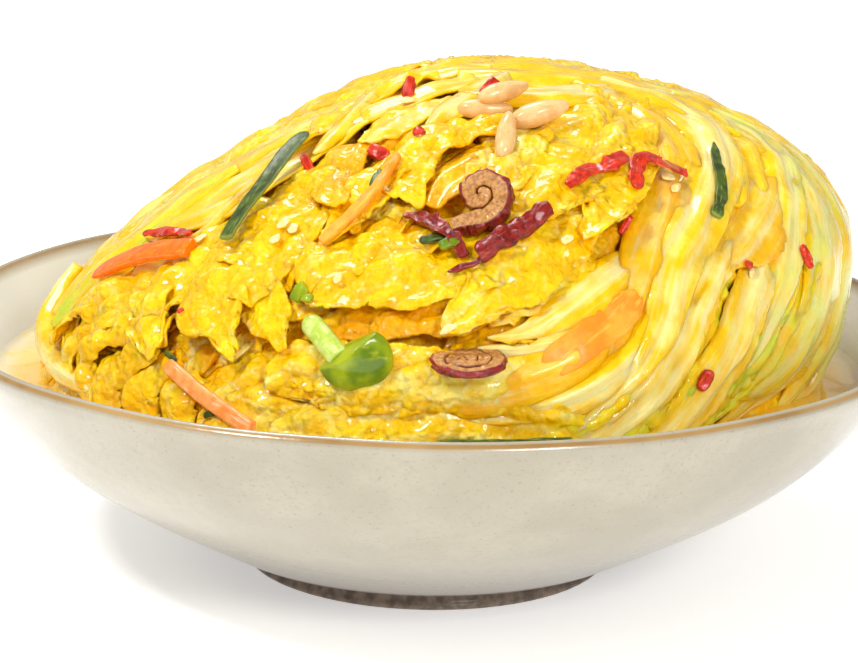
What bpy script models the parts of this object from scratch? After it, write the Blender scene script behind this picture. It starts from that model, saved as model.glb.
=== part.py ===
"""Yellow cabbage kimchi heaped in a wide footed stoneware bowl with a pool of broth.

Run with: blender --background --python part.py
Units are metres, +Z is up, and the origin is the middle of the bowl's foot on the table. -Y is the
front. The heap of cabbage is one solid. Azimuths turn about the bowl's axis from +X towards +Y. The
heap's rise is 90 degrees at its crown, 0 at its widest ring, RISE_AT_BROTH at the broth and -90 at
the middle of its underside.
"""

import math

import bmesh
import bpy
from mathutils import Matrix, Vector, noise
from mathutils.bvhtree import BVHTree

MM = 0.001

# Bowl, turned about Z
RIM_RADIUS = 130.0 * MM
RIM_HEIGHT = 67.8 * MM
SHOULDER_RADIUS = 60.0 * MM  # where the flat underside turns up into the wall
SHOULDER_HEIGHT = 7.8 * MM
WALL_STRAIGHT_SHARE = 0.66  # share of the wall's rise that is a plain cone
WALL_CURVE_POWER = 4.35  # how late the rest of the rise turns up towards the rim
WALL_THICKNESS = 4.3 * MM
RIM_THICKNESS = 3.0 * MM
FOOT_RADIUS = 49.6 * MM
FOOT_WAIST = 1.2 * MM  # how far the foot's side is hollowed
FOOT_HEIGHT = 6.4 * MM
FOOT_RING_WIDTH = 6.0 * MM
FOOT_RECESS = 4.0 * MM
FLOOR_BEND = 10.0 * MM  # width of the bend between wall and floor
TURNED_SEGMENTS = 66  # of the bowl, the broth and the heap alike
WALL_STEPS = 6

# Broth
BROTH_LEVEL = 52.0 * MM
GAP = 0.3 * MM  # between the broth and the bowl
HEAP_GAP = 1.0 * MM  # between the broth and the cabbage
BROTH_WALL_RINGS = 6

# Cabbage heap
HEAP_CROWN = Vector((6.5 * MM, 6.0 * MM, 134.5 * MM))
HEAP_FLOOR = 13.0 * MM
SUNK_RINGS = 4
FLANK_RINGS = 4
DOME_RINGS = 24
RISE_AT_BROTH = -30.0
HEAP_RADIUS = 107.5 * MM
HEAP_REACH_RIGHT = 5.5 * MM  # how much further the heap reaches on the right than at the front
POOL_AZIMUTH = -36.0  # direction in which the broth stands open
POOL_SPREAD = 23.0
POOL_AT_WIDEST = 8.0 * MM  # how far the heap draws back from the pool, at its widest ring
POOL_AT_BROTH = 12.0 * MM  # and how much further at the broth
TUCK = (-0.5 * MM, 3.0 * MM)  # how far the flank draws in down to the broth: mean, right against left
WIDEST_HEIGHT = (68.0 * MM, 8.2 * MM, 6.1 * MM)  # mean, right against left, ends against front
BULGE = (1.85, 0.47, -0.08)  # exponent of the dome's section: mean, right against left, ends
RELIEF_FADE = 8.0 * MM  # the relief dies out over this height above the broth
CREASE_SCALE = 19.0 * MM
CREASE_DEPTH = 1.6 * MM

# Ribs of the outer leaves, in mm: (half width, height, points along the rib)
RIBS = (
    (8, 4.0, ((54, -2, 132), (70, 2, 127), (86, -4, 120), (98, -18, 107), (104, -28, 88), (97, -42, 62))),
    (5, 3.0, ((80, -22, 120), (90, -40, 98), (84, -56, 80), (74, -74, 66))),
    (6, 4.0, ((56, -20, 129), (68, -29, 123), (77, -52, 104), (73, -72, 88), (64, -85, 71), (54, -94, 60))),
    (5, 4.0, ((52, -35, 127), (68, -53, 112), (71, -66, 100), (62, -84, 88), (50, -95, 72), (40, -100, 62))),
    (6, 4.5, ((42, -34, 129), (62, -56, 114), (62, -74, 101), (54, -90, 88), (44, -98, 79), (30, -104, 72))),
    (5, 3.5, ((48, -86, 97), (41, -91, 95), (28, -97, 90), (18, -101, 85))),
    (5, 3.0, ((29, -100, 83), (20, -104, 77), (10, -104, 75), (2, -104, 76))),
    (6, 2.5, ((32, -18, 134), (28, -41, 130), (23, -58, 124), (19, -69, 118))),
    (9, 2.5, ((1, 10, 136), (-25, 14, 125), (-46, 5, 113), (-62, 2, 103), (-76, -5, 92))),
    (6, 3.5, ((-96, 4, 66), (-102, -10, 61), (-99, -24, 62), (-92, -38, 64), (-84, -52, 63))),
    (13, 4.0, ((52, 34, 130), (76, 50, 112), (88, 62, 86), (88, 64, 60))),
    (13, 4.0, ((12, 48, 131), (26, 82, 112), (30, 102, 84), (30, 104, 60))),
    (12, 4.0, ((-22, 46, 122), (-46, 74, 100), (-60, 86, 76), (-60, 88, 58))),
    (10, 3.0, ((-52, 30, 108), (-76, 44, 88), (-86, 48, 70), (-88, 48, 58))),
)
# Lobes (up) and hollows (down) of the leafy heart, in mm: (centre, radius, height)
LOBES = (
    ((9, -59, 123), 19, 4.0),
    ((-2, -42, 127), 14, 2.5),
    ((2, -72, 115), 10, -4.5),
    ((-8, -86, 100), 18, 4.5),
    ((-56, -69, 86), 20, 5.0),
    ((-38, -80, 89), 12, 4.0),
    ((-47, -85, 76), 11, -6.0),
    ((-72, -62, 76), 14, 4.0),
    ((-82, -57, 63), 14, 4.0),
    ((-66, -77, 63), 12, 4.0),
    ((-22, -101, 68), 15, 3.5),
    ((-4, -104, 66), 15, 3.5),
    ((10, -106, 72), 15, 7.0),
    ((9, -98, 90), 11, -4.0),
    ((4, -95, 94), 15, 4.0),
    ((-21, -95, 84), 9, -4.0),
    ((32, -82, 108), 17, 4.5),
    ((18, -91, 100), 8, -3.5),
    ((45, -65, 117), 15, 2.0),
    ((-42, -36, 112), 15, 2.5),
    ((-32, -72, 100), 14, 2.0),
    ((-79, -20, 88), 15, 2.5),
)

# Toppings, in mm. Each is laid over the heap at these points and lifted clear of what lies under it.
# Strips: name, colour, width, thickness, points along it
STRIPS = (
    ("carrot_strip_1", "carrot", 6.0, 2.2, ((-84, -24, 82), (-73, -36, 89), (-61, -47, 95))),
    ("carrot_strip_2", "carrot", 3.2, 1.6, ((-8, -56, 120), (-16, -66, 111), (-25, -75, 103))),
    ("carrot_strip_3", "carrot", 4.6, 2.0, ((-60, -79, 72), (-52, -87, 68), (-42, -94, 63))),
    ("carrot_strip_4", "carrot", 6.0, 2.0, ((46, -93, 90), (38, -98, 84), (28, -103, 77))),
    ("scallion_strip_1", "scallion", 4.2, 1.4, ((-33, -21, 120), (-41, -36, 112), (-50, -54, 100))),
    ("scallion_strip_2", "scallion", 3.4, 1.2, ((72, -41, 116), (73, -50, 112), (69, -60, 107))),
    ("scallion_strip_3", "scallion", 2.8, 1.2, ((2, -108, 62), (18, -108, 62), (34, -105, 62))),
    ("scallion_rod", "scallion_white", 5.0, 4.2, ((-30, -89, 88), (-26, -93, 84), (-22, -97, 79))),
    ("chili_strip_1", "red_chili", 3.4, 1.2, ((34, -71, 116), (40, -62, 119), (47, -53, 122))),
    ("chili_strip_2", "red_chili", 4.0, 1.2, ((52, -53, 121), (57, -51, 119), (63, -50, 117))),
    ("chili_strip_3", "red_chili", 2.6, 1.2, ((-74, -22, 92), (-67, -32, 95), (-60, -43, 97))),
    ("jujube_strip_1", "jujube", 3.6, 2.0, ((-7, -74, 112), (-1, -79, 110), (5, -84, 106))),
    ("jujube_strip_2", "jujube", 4.4, 2.0, ((14, -85, 106), (20, -81, 109), (27, -77, 113))),
    ("green_pepper", "green_pepper", 8.0, 2.6, ((-26, -97, 75), (-19, -99, 81), (-12, -98, 84), (-9, -98, 88))),
)
# Slices of rolled jujube: name, radius, thickness, centre, direction the cut face looks in
SLICES = (
    ("jujube_slice_1", 8.6, 5.0, (11, -74, 114), (-0.15, -0.86, 0.48)),
    ("jujube_slice_2", 9.8, 3.2, (9, -101, 82), (0.0, -0.22, 0.97)),
)
# Pine nuts: name, middle, direction the pointed end looks in
PINE_NUTS = (
    ("pine_nut_1", (13, -33, 131), (1.0, 0.1, 0.1)),
    ("pine_nut_2", (20, -22, 133), (0.8, 0.6, 0.1)),
    ("pine_nut_3", (19, -49, 127), (0.1, 0.9, 0.3)),
    ("pine_nut_4", (30, -37, 131), (0.9, 0.45, -0.1)),
)
PINE_NUT_LENGTH = 13.4 * MM
PINE_NUT_RADIUS = 2.9 * MM
CLEARANCE = 0.4 * MM  # least distance between a topping and anything else

COLOURS = {  # name: (red, green, blue, roughness), linear
    "glaze": (0.68, 0.64, 0.54, 0.30),
    "broth": (0.90, 0.50, 0.06, 0.08),
    "cabbage": (0.93, 0.62, 0.03, 0.28),
    "pine_nut": (0.86, 0.64, 0.30, 0.35),
    "jujube": (0.34, 0.05, 0.04, 0.45),
    "carrot": (0.93, 0.23, 0.02, 0.30),
    "scallion": (0.04, 0.10, 0.02, 0.35),
    "scallion_white": (0.66, 0.75, 0.30, 0.30),
    "green_pepper": (0.13, 0.38, 0.02, 0.18),
    "red_chili": (0.55, 0.03, 0.02, 0.30),
}


def clear_scene():
    """Removes whatever the scene holds."""
    for obj in list(bpy.data.objects):
        bpy.data.objects.remove(obj)


def material(name):
    """The Principled material of that name, made once."""
    found = bpy.data.materials.get(name)
    if found:
        return found
    red, green, blue, roughness = COLOURS[name]
    made = bpy.data.materials.new(name)
    made.use_nodes = True
    shader = made.node_tree.nodes["Principled BSDF"]
    shader.inputs["Base Color"].default_value = (red, green, blue, 1.0)
    shader.inputs["Roughness"].default_value = roughness
    shader.inputs["Metallic"].default_value = 0.0
    return made


def add_object(name, form, finish):
    """Links a finished bmesh as an object with its material, shaded smooth."""
    bmesh.ops.triangulate(form, faces=form.faces)
    bmesh.ops.recalc_face_normals(form, faces=form.faces)
    mesh = bpy.data.meshes.new(name)
    form.to_mesh(mesh)
    form.free()
    mesh.materials.append(material(finish))
    mesh.shade_smooth()
    mesh.set_sharp_from_angle(angle=math.radians(40))
    obj = bpy.data.objects.new(name, mesh)
    bpy.context.scene.collection.objects.link(obj)
    return obj


# ---------------------------------------------------------------- bowl


def outer_wall(share):
    """Radius, height and outward normal of the wall's outside, from the shoulder (0) to the rim (1)."""
    width = RIM_RADIUS - SHOULDER_RADIUS
    rise = RIM_HEIGHT - SHOULDER_HEIGHT
    curve = 1.0 - WALL_STRAIGHT_SHARE
    bent = curve * share**WALL_CURVE_POWER + WALL_STRAIGHT_SHARE * share
    steepness = curve * WALL_CURVE_POWER * share ** (WALL_CURVE_POWER - 1.0) + WALL_STRAIGHT_SHARE
    slope = rise * steepness / width
    length = math.hypot(1.0, slope)
    radius = SHOULDER_RADIUS + width * share
    return radius, SHOULDER_HEIGHT + rise * bent, (slope / length, -1.0 / length)


def inner_wall(share):
    """Radius and height of the wall's inside at the same share of the wall."""
    radius, height, (across, down) = outer_wall(share)
    thickness = WALL_THICKNESS + (RIM_THICKNESS - WALL_THICKNESS) * share**3
    return radius - across * thickness, height - down * thickness


def floor_height():
    """Height of the bowl's flat inner floor."""
    _, height, (across, down) = outer_wall(0.0)
    wall_slope = -across / down
    return height - down * WALL_THICKNESS - wall_slope * FLOOR_BEND / 2


def inside_profile():
    """(radius, height) points of the bowl's inside, from the edge of the floor up to the rim."""
    low_radius, low_height = inner_wall(0.0)
    bend = []
    for share in (1.0, 0.5):
        drop = (low_height - floor_height()) * (1.0 - (1.0 - share) ** 2)
        bend.append((low_radius - FLOOR_BEND * share, low_height - drop))
    return bend + [inner_wall(step / WALL_STEPS) for step in range(WALL_STEPS + 1)]


def inside_radius(height):
    """Radius of the bowl's inside at a height."""
    profile = inside_profile()
    for (low_radius, low), (high_radius, high) in zip(profile, profile[1:]):
        if height <= high:
            break
    share = max(0.0, (height - low) / (high - low))
    return low_radius + (high_radius - low_radius) * share


def bowl_profile():
    """(radius, height) points of the bowl's section, from the underside's middle to the floor's."""
    foot_inside = FOOT_RADIUS - FOOT_RING_WIDTH
    points = [
        (0.0, FOOT_RECESS),
        (foot_inside - 2.0 * MM, FOOT_RECESS),
        (foot_inside, 0.0),
        (FOOT_RADIUS, 0.0),
        (FOOT_RADIUS - FOOT_WAIST, FOOT_HEIGHT * 0.6),
        (FOOT_RADIUS - FOOT_WAIST * 0.5, FOOT_HEIGHT),
    ]
    points += [outer_wall(step / WALL_STEPS)[:2] for step in range(WALL_STEPS + 1)]
    lip = (RIM_RADIUS + inner_wall(1.0)[0]) / 2
    points.append((lip, RIM_HEIGHT + RIM_THICKNESS * 0.45))
    points += reversed(inside_profile())
    points.append((0.0, floor_height()))
    return points


def make_bowl():
    """The stoneware bowl, a section spun about Z."""
    form = bmesh.new()
    verts = [form.verts.new((radius, 0.0, height)) for radius, height in bowl_profile()]
    edges = [form.edges.new(pair) for pair in zip(verts, verts[1:])]
    bmesh.ops.spin(
        form,
        geom=verts + edges,
        axis=(0.0, 0.0, 1.0),
        cent=(0.0, 0.0, 0.0),
        steps=TURNED_SEGMENTS,
        angle=math.tau,
        use_merge=True,
    )
    bmesh.ops.remove_doubles(form, verts=form.verts, dist=0.01 * MM)
    return add_object("bowl", form, "glaze")


# ---------------------------------------------------------------- heap of cabbage


def bell(distance, spread):
    """A smooth hump of height 1, by distance over spread."""
    return math.exp(-((distance / spread) ** 2))


def wrapped(degrees):
    """The angle brought between -180 and 180."""
    return (degrees + 180.0) % 360.0 - 180.0


def heap_widest(azimuth):
    """Radius from the bowl's axis and height of the heap's widest ring."""
    turn = math.radians(azimuth)
    open_water = bell(wrapped(azimuth - POOL_AZIMUTH), POOL_SPREAD)
    radius = HEAP_RADIUS + HEAP_REACH_RIGHT * math.cos(turn) - POOL_AT_WIDEST * open_water
    mean, sideways, ends = WIDEST_HEIGHT
    return radius, mean + sideways * math.cos(turn) + ends * math.cos(2 * turn)


def heap_waterline(azimuth):
    """Radius of the heap where it meets the broth."""
    open_water = bell(wrapped(azimuth - POOL_AZIMUTH), POOL_SPREAD)
    tuck = TUCK[0] + TUCK[1] * math.cos(math.radians(azimuth))
    return heap_widest(azimuth)[0] - tuck - POOL_AT_BROTH * open_water


def heap_base(azimuth, rise):
    """Point of the heap's plain surface, before its relief."""
    turn = math.radians(azimuth)
    outward = Vector((math.cos(turn), math.sin(turn), 0.0))
    radius, height = heap_widest(azimuth)
    if rise >= 0.0:
        mean, sideways, ends = BULGE
        power = 2.0 / (mean + sideways * math.cos(turn) + ends * math.cos(2 * turn))
        across = max(0.0, math.cos(math.radians(rise))) ** power
        up = math.sin(math.radians(rise)) ** power
        centre = Vector((HEAP_CROWN.x, HEAP_CROWN.y, 0.0))
        flat = centre + (outward * radius - centre) * across
        return flat + Vector((0.0, 0.0, height + (HEAP_CROWN.z - height) * up))
    if rise >= RISE_AT_BROTH:
        share = rise / RISE_AT_BROTH
        drawn_in = (radius - heap_waterline(azimuth)) * share * share
        flat = outward * (radius - drawn_in)
        return flat + Vector((0.0, 0.0, height + (BROTH_LEVEL - height) * share))
    share = (RISE_AT_BROTH - rise) / (90.0 + RISE_AT_BROTH)
    return heap_under_broth(azimuth, share, 0.0)


def heap_under_broth(azimuth, share, grown):
    """Point of the heap's sunk part, from the broth's surface (0) to its underside's middle (1).

    grown moves the surface outwards, for the broth that lies against it.
    """
    turn = math.radians(azimuth)
    side_share = min(1.0, share / 0.6)
    in_share = max(0.0, share - 0.6) / 0.4
    bottom = HEAP_FLOOR - grown
    height = BROTH_LEVEL + (bottom - BROTH_LEVEL) * side_share
    margin = inside_radius(BROTH_LEVEL) - heap_waterline(azimuth)
    steeper = 4.0 * MM * side_share
    radius = (inside_radius(height - steeper) - margin + grown) * (1.0 - in_share)
    return Vector((radius * math.cos(turn), radius * math.sin(turn), height))


def heap_normal(azimuth, rise):
    """Outward normal of the heap's plain surface."""
    step = 0.6
    low, high = max(RISE_AT_BROTH, rise - step), min(88.0, rise + step)
    along = heap_base(azimuth + step, rise) - heap_base(azimuth - step, rise)
    up = heap_base(azimuth, high) - heap_base(azimuth, low)
    return along.cross(up).normalized()


def smooth_path(points, steps=6):
    """Points of a Catmull-Rom curve through the given ones."""
    given = [Vector(point) for point in points]
    ends = [given[0], *given, given[-1]]
    found = []
    for before, start, end, after in zip(ends, ends[1:], ends[2:], ends[3:]):
        for step in range(steps):
            t = step / steps
            found.append(
                start
                + (end - before) * (t / 2)
                + (2 * before - 5 * start + 4 * end - after) * (t * t / 2)
                + (3 * start - before - 3 * end + after) * (t * t * t / 2)
            )
    return [*found, given[-1]]


def hump(distance, radius):
    """Height from 1 to 0 across a rounded hump."""
    return max(0.0, 1.0 - (distance / radius) ** 2) ** 2


def relief(point, lines):
    """How far the leaves stand out from the plain surface there."""
    ridge = 0.0
    for (width, height, _), line in zip(RIBS, lines):
        distance = min((point - place).length for place in line)
        ridge = max(ridge, height * MM * hump(distance, 1.5 * width * MM))
    swell = 0.0
    for centre, radius, height in LOBES:
        distance = (point - Vector(centre) * MM).length
        swell += height * MM * hump(distance, radius * MM)
    crease = CREASE_DEPTH * noise.noise(point / CREASE_SCALE)
    fade = min(1.0, max(0.0, (point.z - BROTH_LEVEL) / RELIEF_FADE))
    return fade * (ridge + swell + crease)


def ring_and_azimuth(vertex, rings):
    """Ring, counted from the south pole, and azimuth of a vertex of a unit sphere."""
    polar = math.acos(max(-1.0, min(1.0, -vertex.co.z)))
    return round(polar / math.pi * rings), math.degrees(math.atan2(vertex.co.y, vertex.co.x))


def heap_rise(ring):
    """Rise of a ring of the heap, counted from its underside's middle."""
    if ring <= SUNK_RINGS:
        return -90.0 + (90.0 + RISE_AT_BROTH) * ring / SUNK_RINGS
    if ring <= SUNK_RINGS + FLANK_RINGS:
        return RISE_AT_BROTH * (1.0 - (ring - SUNK_RINGS) / FLANK_RINGS)
    return 90.0 * (ring - SUNK_RINGS - FLANK_RINGS) / DOME_RINGS


def make_heap():
    """The cabbage, one solid out to its ribbed and lobed outline."""
    rings = SUNK_RINGS + FLANK_RINGS + DOME_RINGS
    lines = [[place * MM for place in smooth_path(points)] for _, _, points in RIBS]
    form = bmesh.new()
    bmesh.ops.create_uvsphere(
        form, u_segments=TURNED_SEGMENTS, v_segments=rings, radius=1.0
    )
    for vertex in form.verts:
        ring, azimuth = ring_and_azimuth(vertex, rings)
        rise = heap_rise(ring)
        place = heap_base(azimuth, rise)
        if rise > RISE_AT_BROTH:
            upright = Vector((0.0, 0.0, 1.0))
            normal = upright if ring == rings else heap_normal(azimuth, rise)
            place = place + normal * relief(place, lines)
        vertex.co = place
    return add_object("cabbage_heap", form, "cabbage")


# ---------------------------------------------------------------- broth


def broth_section(azimuth, ring):
    """Point of the broth, from the floor's middle up the wall, over the surface and down the heap."""
    turn = math.radians(azimuth)
    outward = Vector((math.cos(turn), math.sin(turn), 0.0))
    floor = floor_height() + GAP
    if ring == 0:
        return Vector((0.0, 0.0, floor))
    if ring == 1:
        return outward * (inside_radius(floor_height()) - GAP) + Vector((0.0, 0.0, floor))
    if ring <= BROTH_WALL_RINGS:
        share = (ring - 1) / (BROTH_WALL_RINGS - 1)
        height = floor + (BROTH_LEVEL - floor) * share**1.5
        return outward * (inside_radius(height - GAP) - GAP) + Vector((0.0, 0.0, height))
    share = (ring - BROTH_WALL_RINGS - 1) / SUNK_RINGS
    return heap_under_broth(azimuth, share, HEAP_GAP)


def make_broth():
    """The broth between the bowl and the sunk part of the heap, up to its level."""
    rings = BROTH_WALL_RINGS + 1 + SUNK_RINGS
    form = bmesh.new()
    bmesh.ops.create_uvsphere(
        form, u_segments=TURNED_SEGMENTS, v_segments=rings, radius=1.0
    )
    for vertex in form.verts:
        ring, azimuth = ring_and_azimuth(vertex, rings)
        vertex.co = broth_section(azimuth, ring)
    return add_object("broth", form, "broth")


# ---------------------------------------------------------------- toppings


def solid_tree(obj):
    """Search tree over an object's faces."""
    form = bmesh.new()
    form.from_mesh(obj.data)
    tree = BVHTree.FromBMesh(form)
    form.free()
    return tree


def lift_clear(form, below, direction):
    """Moves a topping's form along the direction until it stands clear of the objects below it."""
    trees = [(solid_tree(obj), [vertex.co.copy() for vertex in obj.data.vertices]) for obj in below]
    step = 0.15 * MM
    for _ in range(120):
        own = BVHTree.FromBMesh(form)
        touching = False
        for tree, points in trees:
            touching = touching or bool(own.overlap(tree))
            touching = touching or any(
                tree.find_nearest(vertex.co, CLEARANCE)[0] for vertex in form.verts
            )
            touching = touching or any(own.find_nearest(point, CLEARANCE)[0] for point in points)
        if not touching:
            return
        bmesh.ops.translate(form, vec=direction * step, verts=form.verts)


def surface_at(heap, point):
    """Point and outward normal of the heap's surface near a point given in mm."""
    wanted = Vector(point) * MM
    total, centre, normal = 0.0, Vector(), Vector()
    for vertex in heap.data.vertices:
        weight = bell((vertex.co - wanted).length, 6.0 * MM)
        total += weight
        centre += vertex.co * weight
        normal += vertex.normal * weight
    normal.normalize()
    return wanted + normal * (centre / total - wanted).dot(normal), normal


def section_outline(width, thickness):
    """Corners of a strip's section: a rectangle with its corners cut back."""
    across, up, cut = width / 2, thickness / 2, 0.3 * thickness
    return [
        (across, up - cut),
        (across - cut, up),
        (cut - across, up),
        (-across, up - cut),
        (-across, cut - up),
        (cut - across, -up),
        (across - cut, -up),
        (across, cut - up),
    ]


def make_strip(name, colour, width, thickness, points, heap, below):
    """A strip laid over the heap along the points."""
    places = [surface_at(heap, point) for point in smooth_path(points, steps=2)]
    mean_normal = sum((normal for _, normal in places), Vector()).normalized()
    line = [place + mean_normal * (thickness * MM / 2 + CLEARANCE) for place, _ in places]
    line = [
        (line[max(i - 1, 0)] + line[i] * 2 + line[min(i + 1, len(line) - 1)]) / 4
        for i in range(len(line))
    ]
    form = bmesh.new()
    rings = []
    for i, place in enumerate(line):
        along = (line[min(i + 1, len(line) - 1)] - line[max(i - 1, 0)]).normalized()
        side = along.cross(mean_normal).normalized()
        up = side.cross(along)
        end_share = 0.75 if i in (0, len(line) - 1) else 1.0
        outline = section_outline(width * end_share * MM, thickness * MM)
        rings.append([form.verts.new(place + side * x + up * y) for x, y in outline])
    for ring, after in zip(rings, rings[1:]):
        for i in range(len(ring)):
            j = (i + 1) % len(ring)
            form.faces.new((ring[i], ring[j], after[j], after[i]))
    form.faces.new(reversed(rings[0]))
    form.faces.new(rings[-1])
    lift_clear(form, below, mean_normal)
    return add_object(name, form, colour)


def make_slice(name, radius, thickness, centre, facing, heap, below):
    """A slice of rolled jujube with a slightly wrinkled edge."""
    place, normal = surface_at(heap, centre)
    axis = Vector(facing).normalized()
    form = bmesh.new()
    bmesh.ops.create_cone(
        form,
        cap_ends=True,
        segments=18,
        radius1=radius * MM,
        radius2=radius * MM,
        depth=thickness * MM,
    )
    rims = [edge for edge in form.edges if abs(edge.verts[0].co.z - edge.verts[1].co.z) < 1e-6]
    bmesh.ops.bevel(form, geom=rims, offset=0.8 * MM, segments=1, affect="EDGES")
    for vertex in form.verts:
        angle = math.atan2(vertex.co.y, vertex.co.x)
        wrinkle = 1.0 + 0.05 * math.sin(3 * angle + 0.6) + 0.03 * math.sin(7 * angle)
        vertex.co.x *= wrinkle
        vertex.co.y *= wrinkle * 0.9
    turn = axis.to_track_quat("Z", "X").to_matrix().to_4x4()
    start = place + normal * (thickness * MM / 2)
    bmesh.ops.transform(form, matrix=Matrix.Translation(start) @ turn, verts=form.verts)
    lift_clear(form, below, normal)
    return add_object(name, form, "jujube")


def make_pine_nut(name, middle, pointing, heap, below):
    """A pine nut: a drop with one pointed end."""
    place, normal = surface_at(heap, middle)
    form = bmesh.new()
    bmesh.ops.create_uvsphere(form, u_segments=8, v_segments=7, radius=1.0)
    for vertex in form.verts:
        along = vertex.co.z
        girth = PINE_NUT_RADIUS * (1.0 - 0.22 * along - 0.12 * along * along)
        vertex.co = Vector((vertex.co.x * girth, vertex.co.y * girth, along * PINE_NUT_LENGTH / 2))
    flat = Vector(pointing) - normal * Vector(pointing).dot(normal)
    turn = flat.to_track_quat("Z", "X").to_matrix().to_4x4()
    start = place + normal * (PINE_NUT_RADIUS + CLEARANCE)
    bmesh.ops.transform(form, matrix=Matrix.Translation(start) @ turn, verts=form.verts)
    lift_clear(form, below, normal)
    return add_object(name, form, "pine_nut")


def main():
    """Builds the bowl, the broth, the cabbage and what lies on it."""
    clear_scene()
    make_bowl()
    make_broth()
    heap = make_heap()
    placed = [heap]
    for name, radius, thickness, centre, facing in SLICES:
        placed.append(make_slice(name, radius, thickness, centre, facing, heap, placed))
    for name, middle, pointing in PINE_NUTS:
        placed.append(make_pine_nut(name, middle, pointing, heap, placed))
    for name, colour, width, thickness, points in STRIPS:
        placed.append(make_strip(name, colour, width, thickness, points, heap, placed))


main()
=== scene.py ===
"""Looks of the yellow cabbage kimchi in its stoneware bowl.

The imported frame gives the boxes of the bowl, the broth, the heap and each topping. The heap's plain
form is repeated here as a formula, and leaves, ribs and toppings are laid over it. Places on the heap
are in millimetres in the frame's axes, and meshes are made in metres.
"""

import logging
import math
import random
from dataclasses import dataclass, field
from enum import Enum
from functools import cached_property

import bmesh
import bpy
import numpy as np
from mathutils import Matrix, Vector, noise
from mathutils.bvhtree import BVHTree

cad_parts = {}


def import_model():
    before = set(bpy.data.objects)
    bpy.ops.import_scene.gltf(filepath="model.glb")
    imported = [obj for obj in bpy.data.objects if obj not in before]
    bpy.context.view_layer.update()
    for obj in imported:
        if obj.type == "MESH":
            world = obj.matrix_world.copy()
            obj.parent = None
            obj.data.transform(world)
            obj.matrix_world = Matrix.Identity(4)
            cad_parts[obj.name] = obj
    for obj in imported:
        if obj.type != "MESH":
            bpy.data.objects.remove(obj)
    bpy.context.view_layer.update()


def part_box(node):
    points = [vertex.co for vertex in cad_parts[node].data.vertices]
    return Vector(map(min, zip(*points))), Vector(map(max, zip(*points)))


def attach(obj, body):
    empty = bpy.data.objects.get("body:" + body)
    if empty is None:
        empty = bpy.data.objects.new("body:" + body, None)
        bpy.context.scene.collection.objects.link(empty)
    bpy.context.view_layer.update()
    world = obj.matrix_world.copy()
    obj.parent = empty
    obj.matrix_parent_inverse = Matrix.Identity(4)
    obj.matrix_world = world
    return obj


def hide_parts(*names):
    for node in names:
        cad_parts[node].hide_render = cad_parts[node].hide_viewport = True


LOG = logging.getLogger("kimchi")
MM = 0.001
BODY = "root"
Point = tuple[float, float, float]


# ---------------------------------------------------------------- small tools


def srgb(code: str) -> tuple[float, float, float, float]:
    """Turns an sRGB hex code into a linear colour.

    Args:
        code: six hex digits.

    Returns:
        Linear red, green, blue and an alpha of one.
    """
    parts = [int(code[i : i + 2], 16) / 255 for i in (0, 2, 4)]
    linear = [c / 12.92 if c <= 0.04045 else ((c + 0.055) / 1.055) ** 2.4 for c in parts]
    return linear[0], linear[1], linear[2], 1.0


def add_node(
    tree: bpy.types.NodeTree,
    kind: str,
    settings: dict[str, object] | None = None,
    inputs: dict[str | int, object] | None = None,
) -> bpy.types.Node:
    """Adds a node with its settings, values and links.

    Args:
        tree: the tree to add to.
        kind: the node's type name.
        settings: properties of the node.
        inputs: for each input socket a value, or an output socket to link from.

    Returns:
        The new node.
    """
    node = tree.nodes.new(kind)
    for name, value in (settings or {}).items():
        setattr(node, name, value)
    for name, value in (inputs or {}).items():
        if isinstance(value, bpy.types.NodeSocket):
            tree.links.new(value, node.inputs[name])
        else:
            node.inputs[name].default_value = value
    return node


def start_material(name: str, values: dict[str, object]) -> tuple[bpy.types.Material, bpy.types.Node]:
    """Makes a material holding one Principled shader.

    Args:
        name: the material's name.
        values: constants for the shader's sockets.

    Returns:
        The material and its shader node.
    """
    made = bpy.data.materials.new(name)
    made.use_nodes = True
    shader = made.node_tree.nodes["Principled BSDF"]
    for socket, value in values.items():
        shader.inputs[socket].default_value = value
    return made, shader


def mix_colours(tree: bpy.types.NodeTree, share: object, low: object, high: object) -> object:
    """Mixes two colours by a share and returns the output socket."""
    node = add_node(tree, "ShaderNodeMix", {"data_type": "RGBA"}, {0: share, 6: low, 7: high})
    return node.outputs[2]


def scaled(tree: bpy.types.NodeTree, value: object, low: float, high: float) -> object:
    """Stretches the range low..high of a value to 0..1, clamped, and returns the socket."""
    node = add_node(
        tree,
        "ShaderNodeMapRange",
        {"interpolation_type": "SMOOTHSTEP"},
        {"Value": value, "From Min": low, "From Max": high},
    )
    return node.outputs["Result"]


def noise_at(tree: bpy.types.NodeTree, where: object, size_mm: float, detail: float = 3.0) -> object:
    """Noise with blotches of about the given size, on coordinates in metres."""
    node = add_node(
        tree,
        "ShaderNodeTexNoise",
        {},
        {"Vector": where, "Scale": 1000.0 / size_mm, "Detail": detail, "Roughness": 0.55},
    )
    return node.outputs["Fac"]


def object_coords(tree: bpy.types.NodeTree) -> object:
    """The Object coordinates' output socket."""
    return add_node(tree, "ShaderNodeTexCoord").outputs["Object"]


def finish_piece(
    name: str, form: bmesh.types.BMesh, finish: bpy.types.Material, nodes: tuple[str, ...]
) -> bpy.types.Object:
    """Turns a bmesh into a piece of the object.

    Args:
        name: the piece's name.
        form: its mesh, in metres and in place.
        finish: its material.
        nodes: the CAD nodes that it stands for.

    Returns:
        The piece.
    """
    mesh = bpy.data.meshes.new(name)
    form.to_mesh(mesh)
    form.free()
    mesh.materials.append(finish)
    mesh.shade_smooth()
    piece = bpy.data.objects.new(name, mesh)
    bpy.context.scene.collection.objects.link(piece)
    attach(piece, BODY)
    if nodes:
        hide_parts(*nodes)
    LOG.info("%s: %d faces", name, len(mesh.polygons))
    return piece


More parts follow.
